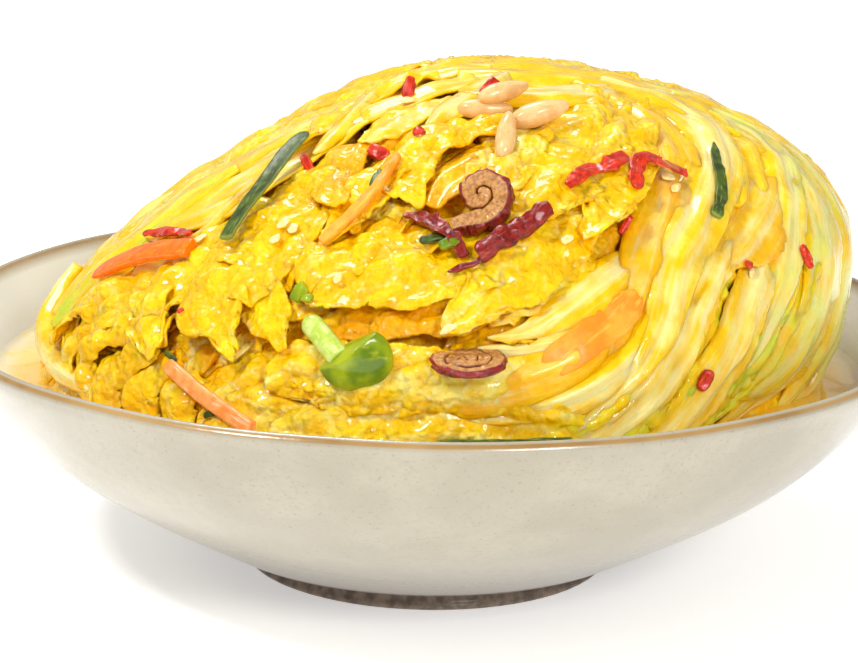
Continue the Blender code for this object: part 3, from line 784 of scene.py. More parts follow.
@dataclass
class OuterLeaves:
    """Long pale ribs and sheets sweeping from the crown over the right side to the front."""

    leaves: list[Leaf] = field(
        default_factory=lambda: [
            # outermost sheets on the right, and the green band beside them
            Leaf(
                ((80, 6, 126), (96, 1, 117), (107, -5, 105), (112, -11, 92), (112, -17, 78), (108, -23, 64), (101, -29, 52), (95, -33, 46)),
                (8, 11, 12, 12, 11, 10), (1.6, 2.2, 2.0, 1.4, 0.4), dome=1.0, tilt=-0.2, folds=0.3,
                tint=Tints.CREAM_GREEN, seed=24,
            ),
            Leaf(
                ((60, -2, 131), (80, -8, 123), (94, -16, 113), (101, -25, 102), (102, -34, 91), (101, -41, 79), (97, -49, 67), (91, -58, 56), (86, -64, 46)),
                (6, 9, 11, 12, 12, 11, 9), (1.4, 2.2, 2.4, 1.6), dome=1.0, tilt=-0.3, margins=(-8, -7),
                folds=0.3, rumple=0.5, frill=0.3, tint=Tints.CREAM_GREEN, seed=1,
            ),
            Leaf(
                ((84, -16, 119), (93, -26, 110), (95, -36, 101), (93, -45, 91), (90, -53, 80), (83, -64, 68), (75, -75, 57), (68, -83, 46)),
                (4, 6, 7.5, 8, 8, 7), (-1.0, 1.4, 1.6, 1.2, 0.5), dome=0.7, tilt=0.6, wave=0.5, margins=(-9, -4),
                folds=0.6, rumple=0.8, strands=0.4, frill=0.6, tint=Tints.YELLOW_GREEN, seed=2,
            ),
            Leaf(
                ((64, -2, 130), (78, -8, 125), (87, -14, 119), (90, -24, 112), (89, -36, 105), (88, -48, 95), (84, -58, 84), (77, -69, 72)),
                (4, 6.5, 7.5, 7, 6.5, 6), (1.2, 2.0, 2.0, 1.0), dome=1.4, tilt=0.5, margins=(-14, -11),
                folds=0.4, frill=0.4, tint=Tints.CREAM_GREEN, seed=3,
            ),
            Leaf(
                ((60, -8, 129), (72, -12, 126), (80, -18, 121), (83, -27, 116), (82, -37, 111), (79, -47, 106)),
                (4, 6.5, 8, 7.5, 6), (1.4, 1.4, 1.0), dome=0.6, tilt=0.4, folds=0.6, rumple=0.9, wave=0.5,
                tint=Tints.YELLOW, seed=4,
            ),
            Leaf(
                ((88, -30, 112), (84, -40, 108), (80, -50, 104), (75, -60, 100), (71, -68, 97)),
                (7, 10, 10.5, 8, 4), (0.6, 2.2, 2.4, 1.4), dome=0.9, tilt=0.6, margins=(-10, 0), tip=-20, ragged=0.8,
                tint=Tints.CREAM_ORANGE, folds=0.4, strands=0.4, frill=0.5, seed=5,
            ),
            Leaf(
                ((88, -42, 104), (84, -54, 96), (78, -66, 87), (73, -74, 78), (66, -83, 68), (58, -90, 58), (50, -96, 47)),
                (3, 6, 8, 8.5, 8, 7), (-3.0, 1.6, 3.0, 2.8, 1.8), dome=1.2, tilt=0.5, margins=(-12, -14),
                folds=0.6, strands=0.5, frill=0.4, tint=Tints.CREAM, seed=6,
            ),
            Leaf(
                ((92, -42, 99), (88, -54, 89), (83, -65, 79), (77, -74, 69), (70, -82, 59), (64, -88, 48)),
                (4, 7, 8.5, 8.5, 8), (-2.0, 1.0, 1.4, 0.5), dome=1.0, tilt=0.6, wave=0.6, folds=0.6,
                rumple=0.8, strands=0.45, frill=0.7, tint=Tints.YELLOW_GREEN, seed=7,
            ),
            Leaf(
                ((76, -60, 102), (69, -72, 95), (66, -79, 87), (63, -85, 78), (58, -91, 68), (50, -97, 57), (44, -100, 47)),
                (5, 9, 10, 10, 9), (-1.0, 0.8, 1.0, 0.4), dome=0.8, tilt=0.5, wave=0.8, folds=0.8, pucker=0.5,
                rumple=0.9, strands=0.45, frill=0.7, tint=Tints.YELLOW_GREEN, seed=8,
            ),
            Leaf(
                ((80, -46, 108), (74, -60, 103), (68, -71, 98), (63, -81, 91), (59, -88, 82), (53, -95, 73), (44, -100, 65), (33, -104, 57)),
                (3, 6, 7.5, 7.5, 6.5, 5.5), (-3.0, 1.6, 2.8, 2.6, 1.8), dome=1.2, tilt=0.5, margins=(-12, -12),
                folds=0.6, strands=0.5, frill=0.4, tint=Tints.CREAM, seed=9,
            ),
            Leaf(
                ((74, -44, 113), (67, -60, 107), (61, -73, 100), (58, -82, 93), (56, -89, 84), (52, -95, 76), (44, -100, 69)),
                (4, 8, 9, 8.5, 7), (-0.5, 1.2, 1.4, 0.8), dome=0.9, tilt=0.5, wave=0.8, folds=0.7,
                rumple=0.8, strands=0.4, frill=0.7, tint=Tints.YELLOW, seed=10,
            ),
            Leaf(
                ((44, -8, 133), (58, -15, 130), (67, -25, 124), (71, -38, 118), (68, -54, 112), (63, -69, 105), (59, -80, 99), (57, -87, 91), (53, -94, 82), (47, -99, 74), (39, -103, 67), (30, -105, 62)),
                (5, 8, 8.5, 8, 7, 6.5, 6, 5), (2.4, 3.4, 3.6, 3.2, 2.6, 1.6), dome=1.4, tilt=0.6, margins=(-12, -18),
                folds=0.5, strands=0.45, frill=0.3, tint=Tints.CREAM, seed=11,
            ),
            Leaf(
                ((36, -14, 133), (47, -25, 130), (56, -38, 124), (59, -52, 118), (57, -66, 111), (53, -78, 104), (50, -87, 96), (45, -94, 87), (38, -99, 79), (30, -102, 73)),
                (6, 9, 9.5, 8.5, 7.5, 6.5, 6), (2.4, 2.8, 2.4, 1.4, 0.2), dome=1.0, tilt=0.6, margins=(-11, -11),
                folds=0.5, rumple=0.8, strands=0.45, frill=0.4, tint=Tints.CREAM_ORANGE, seed=12,
            ),
            # curved ribs and the wrinkled leaf under them
            Leaf(
                ((62, -74, 103), (58, -83, 98), (54, -89, 90), (49, -95, 82), (41, -100, 76), (31, -104, 72), (20, -106, 70), (9, -107, 69)),
                (2, 4.4, 5.2, 4.6, 3), (-2.0, 2.0, 2.8, 2.2), dome=1.4, tilt=0.3, margins=(-16, -16),
                folds=0.35, strands=0.4, frill=0.3, tint=Tints.CREAM, seed=13,
            ),
            Leaf(
                ((64, -78, 98), (61, -86, 87), (56, -92, 77), (50, -97, 70), (42, -101, 65), (32, -104, 62), (20, -106, 61), (8, -107, 61), (-6, -106, 62)),
                (5, 8, 8.5, 8.5, 7.5, 6.5), (-1.0, 1.4, 2.2, 2.0, 1.2), dome=0.8, tilt=0.6, wave=1.2, wave_length=9.0,
                folds=0.9, pucker=0.9, pucker_size=6.0, ragged=0.8, strands=0.4, tint=Tints.LIME, seed=14,
            ),
            Leaf(
                ((56, -80, 102), (50, -87, 97), (44, -92, 92), (38, -97, 85), (30, -101, 79), (22, -103, 76)),
                (5, 8, 9, 8, 6), (0.0, 1.2, 0.8), dome=1.0, folds=0.4, strands=0.3, tint=Tints.ORANGE, seed=15,
            ),
            Leaf(
                ((54, -76, 106), (46, -85, 101), (38, -92, 96), (30, -97, 91), (22, -99, 87), (13, -100, 86)),
                (2, 5.4, 6, 4.8, 2), (-2.0, 1.8, 2.8, 2.2), dome=1.3, tilt=0.4, margins=(-14, -14),
                folds=0.35, strands=0.4, frill=0.3, tint=Tints.CREAM, seed=16,
            ),
            Leaf(
                ((50, -86, 98), (42, -93, 93), (35, -98, 88), (28, -100, 85), (20, -102, 84), (11, -102, 84)),
                (2, 4.4, 4.8, 4, 2), (-2.0, 1.4, 2.4, 1.8), dome=1.3, tilt=0.4, margins=(-14, -14),
                folds=0.35, strands=0.4, frill=0.3, tint=Tints.CREAM, seed=17,
            ),
            Leaf(
                ((44, -94, 89), (37, -99, 84), (30, -102, 80), (22, -105, 77), (13, -106, 75), (4, -106, 74), (-6, -105, 73)),
                (3, 6, 7.5, 7.5, 6, 4), (0.0, 2.8, 3.2, 2.6, 1.8), dome=1.6, tilt=0.4, margins=(-16, -18),
                folds=0.2, tint=Tints.CREAM_ORANGE, seed=18,
            ),
            Leaf(
                ((48, -94, 84), (38, -101, 76), (28, -104, 72), (16, -106, 70), (4, -106, 69), (-8, -104, 69)),
                (3, 5.4, 6, 5.4, 4), (-1.0, 1.6, 1.8, 1.2), dome=1.0, margins=(-14, -18),
                folds=0.4, strands=0.35, tint=Tints.LIGHT, seed=19,
            ),
            # sheets over the top
            Leaf(
                ((4, 4, 136), (22, 0, 136), (40, -2, 135), (58, -4, 132), (76, -6, 126), (92, -8, 116), (103, -12, 103)),
                (9, 11, 13, 13, 11, 6), (1.4, 2.0, 1.6, 1.0), dome=1.0, tilt=0.6, folds=0.5, rumple=0.8,
                margins=(-10, 5), ragged=0.6, tint=Tints.YELLOW, seed=20,
            ),
            Leaf(
                ((6, -10, 135), (26, -12, 135), (44, -14, 133), (58, -20, 129), (70, -28, 123), (77, -40, 116), (77, -52, 109)),
                (6, 8, 9, 9, 8, 5), (1.8, 2.4, 1.8), dome=1.4, tilt=0.5, folds=0.5, tint=Tints.YELLOW, seed=21,
            ),
            Leaf(
                ((4, 16, 135), (26, 16, 135), (48, 14, 132), (70, 12, 126), (90, 8, 116), (103, 5, 104), (110, 2, 90)),
                (10, 13, 15, 16, 14, 9), (0.6, 1.0, 0.6), dome=1.0, folds=0.6, rumple=0.9, tint=Tints.YELLOW, seed=22,
            ),
            # low skirt round the pool
            Leaf(
                ((108, -8, 62), (104, -26, 60), (96, -44, 60), (86, -58, 60), (76, -70, 59), (64, -82, 59), (50, -93, 59)),
                (12, 13, 13, 13, 12), (-0.6, -0.6, -0.6), dome=0.6, folds=0.8, rumple=1.2, strands=0.4, tint=Tints.LIME, seed=23,
            ),
        ]
    )
    rib: float = 1.0

    def build(self, mound: Mound, ground: Ground, finish: bpy.types.Material) -> None:
        """Lays the leaves and joins them."""
        group_leaves("outer_ribs", self.leaves, mound, ground, finish, self.rib)


def flap(
    spine: tuple[Point, ...],
    width: tuple[float, ...],
    seed: int,
    height: tuple[float, ...] = (1.5, 3.0, 4.5),
    tint: Tints = Tints.YELLOW,
    margins: tuple[float, float] = (-10.0, 12.0),
    tip: float = 5.0,
    **changes: float,
) -> Leaf:
    """A soft puckered flap with ragged free edges; named changes go to the leaf."""
    made = dict(
        dome=1.0, tilt=0.6, ragged=1.1, ragged_tip=2.2, wave=0.7, wave_length=16.0, pucker=1.3,
        pucker_size=8.0, folds=0.4, rumple=1.2, spacing=0.8,
    )
    made.update(changes)
    return Leaf(spine, width, height, margins=margins, tip=tip, tint=tint, seed=seed, **made)


SMOOTH = dict(pucker=0.08, ragged=0.5, ragged_tip=1.0, wave=0.3, folds=0.4, rumple=0.7)
ROLLED = dict(dome=1.8, pucker=2.0, pucker_size=9.0, ragged=1.4, ragged_tip=2.0, wave=0.6, folds=0.0, rumple=1.6)


@dataclass
class HeartLeaves:
    """The puckered yellow flaps of the leafy heart, in the middle, on the left and along the front."""

    shoulder: list[Leaf] = field(
        default_factory=lambda: [
            # smooth sheets and short pale ribs down the left shoulder and from the crown
            Leaf(
                ((14, 2, 136), (-4, -2, 134), (-24, -6, 126), (-45, -10, 114), (-64, -10, 102), (-80, -8, 89), (-92, -6, 74), (-98, -6, 60)),
                (8, 10, 11, 12, 12, 11, 9), (1.8, 2.2, 1.8, 1.2), dome=1.0, tilt=0.4, folds=0.5, rumple=0.9,
                ragged=0.5, tint=Tints.LIGHT, seed=31,
            ),
            Leaf(
                ((10, -14, 135), (-6, -20, 131), (-22, -24, 124), (-40, -27, 114), (-56, -28, 105), (-70, -28, 95), (-82, -28, 83), (-92, -28, 70)),
                (6, 8, 9, 10, 10, 10, 8), (1.8, 2.2, 2.0, 1.2), dome=1.0, tilt=0.5, folds=0.5, pucker=0.2,
                ragged=0.8, tint=Tints.LIGHT, seed=32,
            ),
            Leaf(
                ((-50, -18, 109), (-62, -20, 101), (-72, -22, 93), (-80, -22, 86), (-88, -22, 77), (-94, -22, 66)),
                (5, 8, 9, 8, 7), (2.4, 2.8, 2.0), dome=1.4, tilt=0.5, folds=0.4, tint=Tints.YELLOW_GREEN, seed=33,
            ),
            flap(((-18, -30, 125), (-34, -36, 114), (-48, -42, 106), (-60, -38, 100), (-72, -30, 92)), (5, 8, 8, 7, 5), 34, (2.0, 2.6, 2.4), Tints.LIGHT, **SMOOTH),
            Leaf(((-40, -36, 111), (-48, -43, 106), (-52, -46, 102), (-56, -49, 98), (-61, -48, 95)), (2, 3, 3, 2.4), (3.0, 3.4, 3.0), dome=1.6, tint=Tints.CREAM_ORANGE, seed=35),
            Leaf(((18, -14, 135), (14, -23, 134), (9, -31, 132), (3, -40, 129), (-2, -48, 126)), (3, 5.5, 6, 5.5, 3), (2.0, 3.0, 2.6), dome=2.0, folds=0.25, tint=Tints.CREAM, seed=36),
            Leaf(((-17, -14, 128), (-22, -26, 124), (-26, -35, 121), (-30, -43, 117)), (3, 4.5, 4.5, 3), (2.4, 3.2, 2.8), dome=1.8, folds=0.25, tint=Tints.CREAM, seed=37),
            flap(((0, -8, 135), (-12, -12, 131), (-22, -16, 126), (-30, -26, 120), (-36, -34, 114)), (6, 8, 8, 7, 5), 38, (2.2, 3.0, 3.2), Tints.YELLOW),
            Leaf(
                ((46, -14, 133), (38, -24, 132), (28, -31, 132), (17, -32, 132), (6, -28, 132)),
                (4, 7, 8, 7, 4), (2.4, 3.8, 3.8, 2.8), dome=1.4, tilt=0.3, folds=0.3, tint=Tints.CREAM, seed=30,
            ),
            flap(((4, -28, 132), (-6, -34, 129), (-12, -42, 125), (-18, -46, 121)), (5, 7, 7, 5), 39, (2.0, 3.0, 3.2), Tints.LIGHT),
            # pale band behind the left carrot, and the leaf round it
            Leaf(((-72, -20, 94), (-82, -16, 86), (-89, -14, 78), (-94, -18, 70), (-96, -24, 60)), (5, 7, 7, 6), (1.6, 2.0, 1.6), dome=1.2, folds=0.4, tint=Tints.LIGHT, seed=40),
            flap(((-56, -54, 95), (-64, -53, 89), (-72, -48, 85), (-80, -41, 80), (-87, -34, 75)), (6, 9, 9, 8, 6), 41, (1.6, 2.4, 2.4), Tints.LIGHT, pucker=0.5),
            flap(((-82, -30, 82), (-89, -33, 74), (-92, -36, 67), (-92, -40, 59)), (5, 7, 7, 6), 42, (1.4, 2.0, 1.6), Tints.LIGHT),
            # curled stalk at the left end, and the green fibres inside it
            Leaf(((-92, 2, 76), (-97, -10, 70), (-99, -20, 65), (-97, -31, 62), (-92, -41, 61), (-86, -51, 61), (-79, -60, 61)), (2.4, 3.4, 4.2, 4.4, 4.2, 3.4), (3.0, 3.6, 3.6, 3.2), dome=2.6, margins=(-30, -30), folds=0.25, tint=Tints.CREAM, seed=43),
            Leaf(((-93, -18, 73), (-92, -28, 71), (-91, -37, 68), (-88, -46, 64), (-84, -52, 60)), (4, 6, 6, 5), (0.6, 0.2, 0.2), dome=0.4, folds=0.9, tint=Tints.YELLOW_GREEN, seed=44),
        ]
    )
    middle: list[Leaf] = field(
        default_factory=lambda: [
            # between the crown and the rolled slice
            flap(((20, -40, 130), (20, -54, 126), (16, -67, 120), (11, -77, 113)), (6, 9, 9, 7), 50, (2.0, 2.8, 3.0), Tints.LIGHT),
            flap(((24, -58, 122), (14, -61, 122), (8, -64, 120), (2, -68, 117), (-1, -76, 111)), (5, 7, 7, 7, 5), 51, (1.8, 2.4, 2.6), Tints.ORANGE, **SMOOTH),
            flap(((26, -46, 128), (15, -48, 127), (5, -50, 126), (-3, -54, 122), (-6, -64, 116), (-4, -74, 111)), (4, 6, 7.5, 8, 8, 6), 52, (3.0, 3.8, 4.2, 3.6), margins=(0, 8)),
            flap(((-2, -54, 123), (-10, -58, 119), (-16, -63, 114), (-21, -70, 108), (-24, -77, 103)), (5, 7, 8, 7, 6), 53, (2.0, 2.8, 3.4)),
            flap(((-8, -45, 125), (-14, -48, 122), (-20, -48, 119), (-23, -55, 115), (-25, -62, 111), (-23, -69, 108)), (3, 5, 6, 6, 5), 54, (2.6, 3.4, 3.6), Tints.ORANGE, margins=(10, 5)),
            flap(((-20, -46, 119), (-28, -52, 114), (-37, -56, 107), (-46, -57, 101), (-54, -58, 95)), (6, 9, 10, 9, 7), 55, (1.6, 2.6, 3.2)),
            # the broad flaps under the red chillies
            flap(((40, -20, 132), (41, -36, 129), (37, -53, 124), (31, -67, 118), (26, -76, 113), (19, -85, 106)), (8, 11, 12, 12, 10, 7), 56, (2.2, 3.0, 3.6, 4.6), margins=(-8, 10), ragged=0.8),
            flap(((50, -24, 129), (49, -42, 125), (47, -57, 120), (44, -69, 115), (40, -78, 109), (35, -85, 105)), (4, 7, 8, 8, 7, 5), 57, (3.2, 4.2, 4.8, 5.2), margins=(-5, 16), ragged=0.7, dome=1.4),
            flap(((42, -64, 119), (32, -78, 111), (23, -88, 103), (15, -95, 96), (8, -98, 90), (3, -100, 86)), (8, 10, 11, 10, 8, 5), 58, (2.2, 3.4, 4.4, 5.0), margins=(5, 5)),
            flap(((38, -82, 107), (28, -90, 100), (20, -96, 95), (12, -99, 89)), (5, 7, 7, 5), 59, (0.8, 1.6, 2.0), Tints.LIGHT),
            # long crumpled flap across the middle, with the hollow of the red fruit above it
            flap(((6, -80, 108), (-6, -80, 106), (-18, -78, 105), (-28, -77, 101), (-36, -76, 97)), (5, 7, 7, 7, 5), 60, (0.6, 1.4, 2.4), Tints.ORANGE),
            flap(((4, -82, 106), (-6, -84, 103), (-13, -83, 102), (-20, -81, 100), (-27, -82, 96), (-30, -86, 91)), (3, 5, 6, 6, 6, 4), 61, (2.2, 3.0, 4.4, 5.0), margins=(18, 0)),
            flap(((24, -84, 106), (10, -88, 102), (-2, -89, 99), (-12, -88, 97), (-20, -87, 94), (-28, -88, 90)), (6, 9, 10, 10, 9, 7), 62, (1.6, 2.8, 3.6, 4.4, 4.8)),
            flap(((16, -95, 94), (6, -96, 92), (-4, -95, 92), (-13, -94, 90), (-21, -93, 87), (-28, -92, 84)), (4, 7, 8, 8, 7, 5), 63, (0.6, 1.4, 1.8), Tints.ORANGE),
            Leaf(((26, -102, 80), (16, -104, 77), (6, -104, 76), (-4, -103, 76), (-13, -101, 77)), (3, 5.5, 6.5, 6, 4), (1.4, 4.4, 5.4, 4.4, 2.0), dome=1.0, tilt=-1.4, ragged=0.5, folds=0.3, tint=Tints.CREAM, seed=64),
        ]
    )
    left: list[Leaf] = field(
        default_factory=lambda: [
            flap(((-16, -66, 111), (-25, -68, 107), (-34, -68, 103), (-43, -65, 99), (-52, -61, 95)), (6, 9, 10, 9, 7), 70, (1.6, 2.6, 3.6)),
            flap(((-24, -76, 103), (-31, -77, 99), (-37, -77, 95), (-42, -78, 90)), (5, 7, 7, 5), 71, (2.0, 3.0, 3.6)),
            # smooth amber hollow, its orange partly painted shade, and the flaps hanging over it
            flap(((-26, -89, 91), (-34, -87, 87), (-43, -85, 82), (-51, -82, 77), (-59, -79, 71)), (6, 9, 10, 9, 7), 72, (-0.4, -0.8, -0.8), Tints.ORANGE, **SMOOTH),
            flap(((-34, -55, 109), (-44, -60, 102), (-55, -59, 94), (-63, -61, 86), (-66, -67, 79), (-62, -75, 73)), (6, 9, 10, 10, 9, 6), 73, (2.0, 3.4, 4.6, 5.4), margins=(12, -5)),
            flap(((-27, -64, 108), (-37, -69, 100), (-45, -72, 93), (-50, -75, 86), (-47, -82, 81), (-43, -88, 76)), (6, 10, 12, 12, 9, 3), 74, (2.4, 3.8, 5.2, 6.4, 6.6), margins=(8, 0)),
            flap(((-36, -75, 96), (-41, -79, 90), (-38, -85, 87), (-35, -89, 83), (-33, -92, 79)), (4, 6, 6.5, 5.5, 3), 75, (2.4, 3.8, 5.0, 5.2), margins=(10, 20), **SMOOTH),
            flap(((-24, -87, 92), (-30, -86, 90), (-37, -84, 87)), (3, 4.5, 3), 76, (1.8, 2.6, 2.6), **SMOOTH),
            # rolled margins at the far left, and lumps down to the rim
            flap(((-60, -60, 88), (-69, -57, 83), (-75, -50, 82), (-82, -42, 79), (-88, -37, 74), (-91, -38, 66)), (5, 7, 7, 7, 6, 5), 77, (1.6, 2.4, 2.4), **ROLLED),
            flap(((-60, -64, 84), (-68, -61, 81), (-77, -53, 78), (-83, -47, 74), (-87, -46, 67), (-85, -51, 60)), (4, 6, 6.5, 6, 5.5, 5), 78, (2.6, 3.2, 2.8), **ROLLED),
            flap(((-60, -71, 79), (-67, -67, 77), (-74, -59, 76), (-80, -55, 72), (-82, -55, 65), (-78, -61, 59)), (4, 5, 5.5, 5.5, 5, 4), 79, (3.2, 3.8, 3.2), **ROLLED),
            flap(((-64, -72, 75), (-71, -67, 71), (-76, -64, 67), (-77, -64, 61), (-74, -68, 55)), (4, 5.5, 6, 6, 5), 80, (2.2, 3.2, 2.6), **ROLLED),
            flap(((-60, -76, 74), (-65, -75, 69), (-68, -74, 64), (-67, -76, 58), (-65, -78, 53)), (4, 5.5, 6, 6, 5), 81, (2.2, 3.2, 2.6), **ROLLED),
            flap(((-54, -82, 72), (-58, -82, 67), (-59, -83, 62), (-57, -85, 56)), (4, 5.5, 6, 5), 82, (2.0, 2.8, 2.4), **ROLLED),
            flap(((-46, -87, 71), (-51, -87, 66), (-51, -88, 60), (-49, -90, 54)), (4, 6, 6, 5), 83, (1.6, 2.4, 2.0), **ROLLED),
        ]
    )
    front: list[Leaf] = field(
        default_factory=lambda: [
            flap(((-28, -95, 78), (-36, -93, 74), (-44, -91, 70), (-51, -88, 64)), (5, 8, 8, 6), 90, (1.2, 2.6, 3.0), Tints.LIGHT),
            flap(((-28, -98, 72), (-36, -95, 68), (-43, -92, 63), (-47, -91, 57)), (5, 7, 8, 7), 91, (1.8, 3.0, 3.0), Tints.LIGHT, **ROLLED),
            flap(((38, -102, 65), (26, -105, 66), (13, -106, 67), (0, -106, 67), (-12, -104, 66), (-24, -101, 65), (-36, -96, 62)), (4, 7, 8, 8, 8, 8, 6), 92, (2.2, 3.2, 3.6, 3.2), Tints.LIGHT, margins=(14, -5)),
            flap(((22, -105, 75), (11, -105, 75), (0, -104, 77), (-9, -103, 77), (-18, -101, 75), (-27, -98, 74), (-36, -95, 72)), (4, 6, 7, 8, 8, 7, 5), 93, (2.0, 3.4, 4.2, 4.2), Tints.LIGHT, margins=(26, 0)),
            flap(((-13, -101, 79), (-20, -99, 78), (-26, -97, 77), (-31, -95, 77), (-36, -94, 73)), (4, 6, 6, 6, 5), 94, (2.4, 4.0, 4.4), Tints.LIGHT, margins=(20, 0)),
            flap(((30, -105, 58), (14, -107, 59), (-2, -107, 59), (-18, -104, 58), (-34, -98, 57)), (5, 7, 7, 7, 6), 95, (1.6, 2.4, 2.4), **ROLLED),
            flap(((4, -101, 81), (0, -102, 79), (-6, -103, 74), (-10, -103, 69)), (4, 6, 7, 6), 96, (1.0, 2.2, 2.4)),
        ]
    )
    blade: float = 0.7

    def build(self, mound: Mound, ground: Ground, finish: bpy.types.Material, smooth: bpy.types.Material) -> None:
        """Lays the four groups of flaps; the shoulder's are smooth."""
        for name in ("shoulder", "middle", "left", "front"):
            chosen = smooth if name == "shoulder" else finish
            group_leaves("heart_flaps_" + name, getattr(self, name), mound, ground, chosen, self.blade)


@dataclass
class BackLeaves:
    """Broad sheets and ribs swept down the back, and flaps that fill in around the heart."""

    sheets: int = 11
    ribs: int = 17
    first: float = 2.0
    last: float = 184.0
    fills: int = 36

    def swept(self, mound: Mound, azimuth: float, twist: float, rises: tuple[float, ...]) -> tuple[Point, ...]:
        """A way down from the crown that turns as it goes."""
        return tuple(mound.at(azimuth + twist * (1.0 - rise / 80.0), rise) for rise in rises)

    def sheet(self, mound: Mound, number: int, rng: random.Random) -> Leaf:
        """One broad sheet from the crown down the back."""
        azimuth = self.first + (self.last - self.first) * number / (self.sheets - 1)
        twist = rng.uniform(4.0, 22.0)
        return Leaf(
            self.swept(mound, azimuth - twist, twist, (86.0, 66.0, 50.0, 34.0, 18.0, 4.0, -12.0, -30.0)),
            (5.0, 11.0, 15.0, 17.0, 18.0, 17.0, 14.0), (0.2, 0.6, 0.2), dome=0.9, tilt=rng.uniform(0.4, 1.4),
            margins=(-20, -16), ragged=1.0, wave=0.9, wave_length=11.0, pucker=0.6, folds=0.7, rumple=1.2,
            strands=0.4, frill=0.6, tint=rng.choice((Tints.YELLOW, Tints.LIGHT, Tints.LIME, Tints.YELLOW_GREEN)),
            spacing=1.5, seed=100 + number,
        )

    def back_rib(self, mound: Mound, number: int, rng: random.Random) -> Leaf:
        """One pale rib over the sheets, of its own length and sweep."""
        azimuth = self.first + (self.last - self.first) * (number + rng.uniform(-0.3, 0.3)) / (self.ribs - 1)
        twist = rng.uniform(10.0, 34.0)
        top = rng.uniform(40.0, 84.0)
        low = rng.uniform(-30.0, -8.0)
        rises = tuple(top + (low - top) * k / 6.0 for k in range(7))
        width = rng.uniform(4.5, 8.5)
        return Leaf(
            self.swept(mound, azimuth - twist, twist, rises),
            (0.4 * width, 0.8 * width, width, width, 0.9 * width), (0.2, 1.4, 1.6, 1.2, 0.6),
            dome=1.3, tilt=rng.uniform(0.0, 0.9), margins=(-16, -16), ragged=0.5, wave=0.3, folds=0.5,
            rumple=1.0, strands=0.45, frill=0.5,
            tint=rng.choice((Tints.CREAM, Tints.CREAM_GREEN, Tints.LIGHT, Tints.CREAM_ORANGE, Tints.YELLOW)),
            spacing=1.2, seed=130 + number,
        )

    def fill(self, mound: Mound, number: int, rng: random.Random) -> Leaf:
        """One flap that fills in under the larger ones."""
        azimuth = rng.uniform(-188.0, -62.0)
        rise = rng.uniform(-4.0, 66.0)
        turned = rng.uniform(-30.0, 6.0)
        path = tuple(mound.at(azimuth + turned * s / 3.0, rise - s * 10.0) for s in range(4))
        return flap(
            path, (9.0, 14.0, 15.0, 11.0), 200 + number, (-1.6, -1.0, -0.6),
            tint=rng.choice((Tints.YELLOW, Tints.YELLOW, Tints.LIGHT, Tints.ORANGE)), spacing=1.5,
        )

    def build(self, mound: Mound, ground: Ground, finish: bpy.types.Material, smooth: bpy.types.Material) -> None:
        """Lays the sheets, the ribs over them and the filling flaps."""
        rng = random.Random(11)
        back = [self.sheet(mound, number, rng) for number in range(self.sheets)]
        crown = ((-16, 22, 131), (-6, 14, 134), (6, 7, 135), (20, 4, 135), (34, 4, 134))
        back.append(Leaf(crown, (6, 9, 10, 9, 6), (0.6, 1.0, 0.6), dome=0.8, margins=(-14, -8), folds=0.5, seed=99))
        group_leaves("back_leaves", back, mound, ground, finish, 0.9)
        over = [self.back_rib(mound, number, rng) for number in range(self.ribs)]
        group_leaves("back_ribs", over, mound, ground, smooth, 1.0)
        filling = [self.fill(mound, number, rng) for number in range(self.fills)]
        group_leaves("filling_flaps", filling, mound, ground, finish, 0.6)


# ---------------------------------------------------------------- bowl and broth


def turned(profile: list[tuple[float, float]], steps: int) -> bmesh.types.BMesh:
    """Spins a section of radii and heights about Z into a closed skin.

    Args:
        profile: radii and heights in metres, from the underside's middle outwards.
        steps: segments round.

    Returns:
        The bmesh.
    """
    form = bmesh.new()
    verts = [form.verts.new((radius, 0.0, height)) for radius, height in profile]
    edges = [form.edges.new(pair) for pair in zip(verts, verts[1:])]
    bmesh.ops.spin(
        form, geom=verts + edges, axis=(0.0, 0.0, 1.0), cent=(0.0, 0.0, 0.0), steps=steps, angle=math.tau,
        use_merge=True,
    )
    bmesh.ops.remove_doubles(form, verts=form.verts, dist=0.00001)
    bmesh.ops.recalc_face_normals(form, faces=form.faces)
    return form


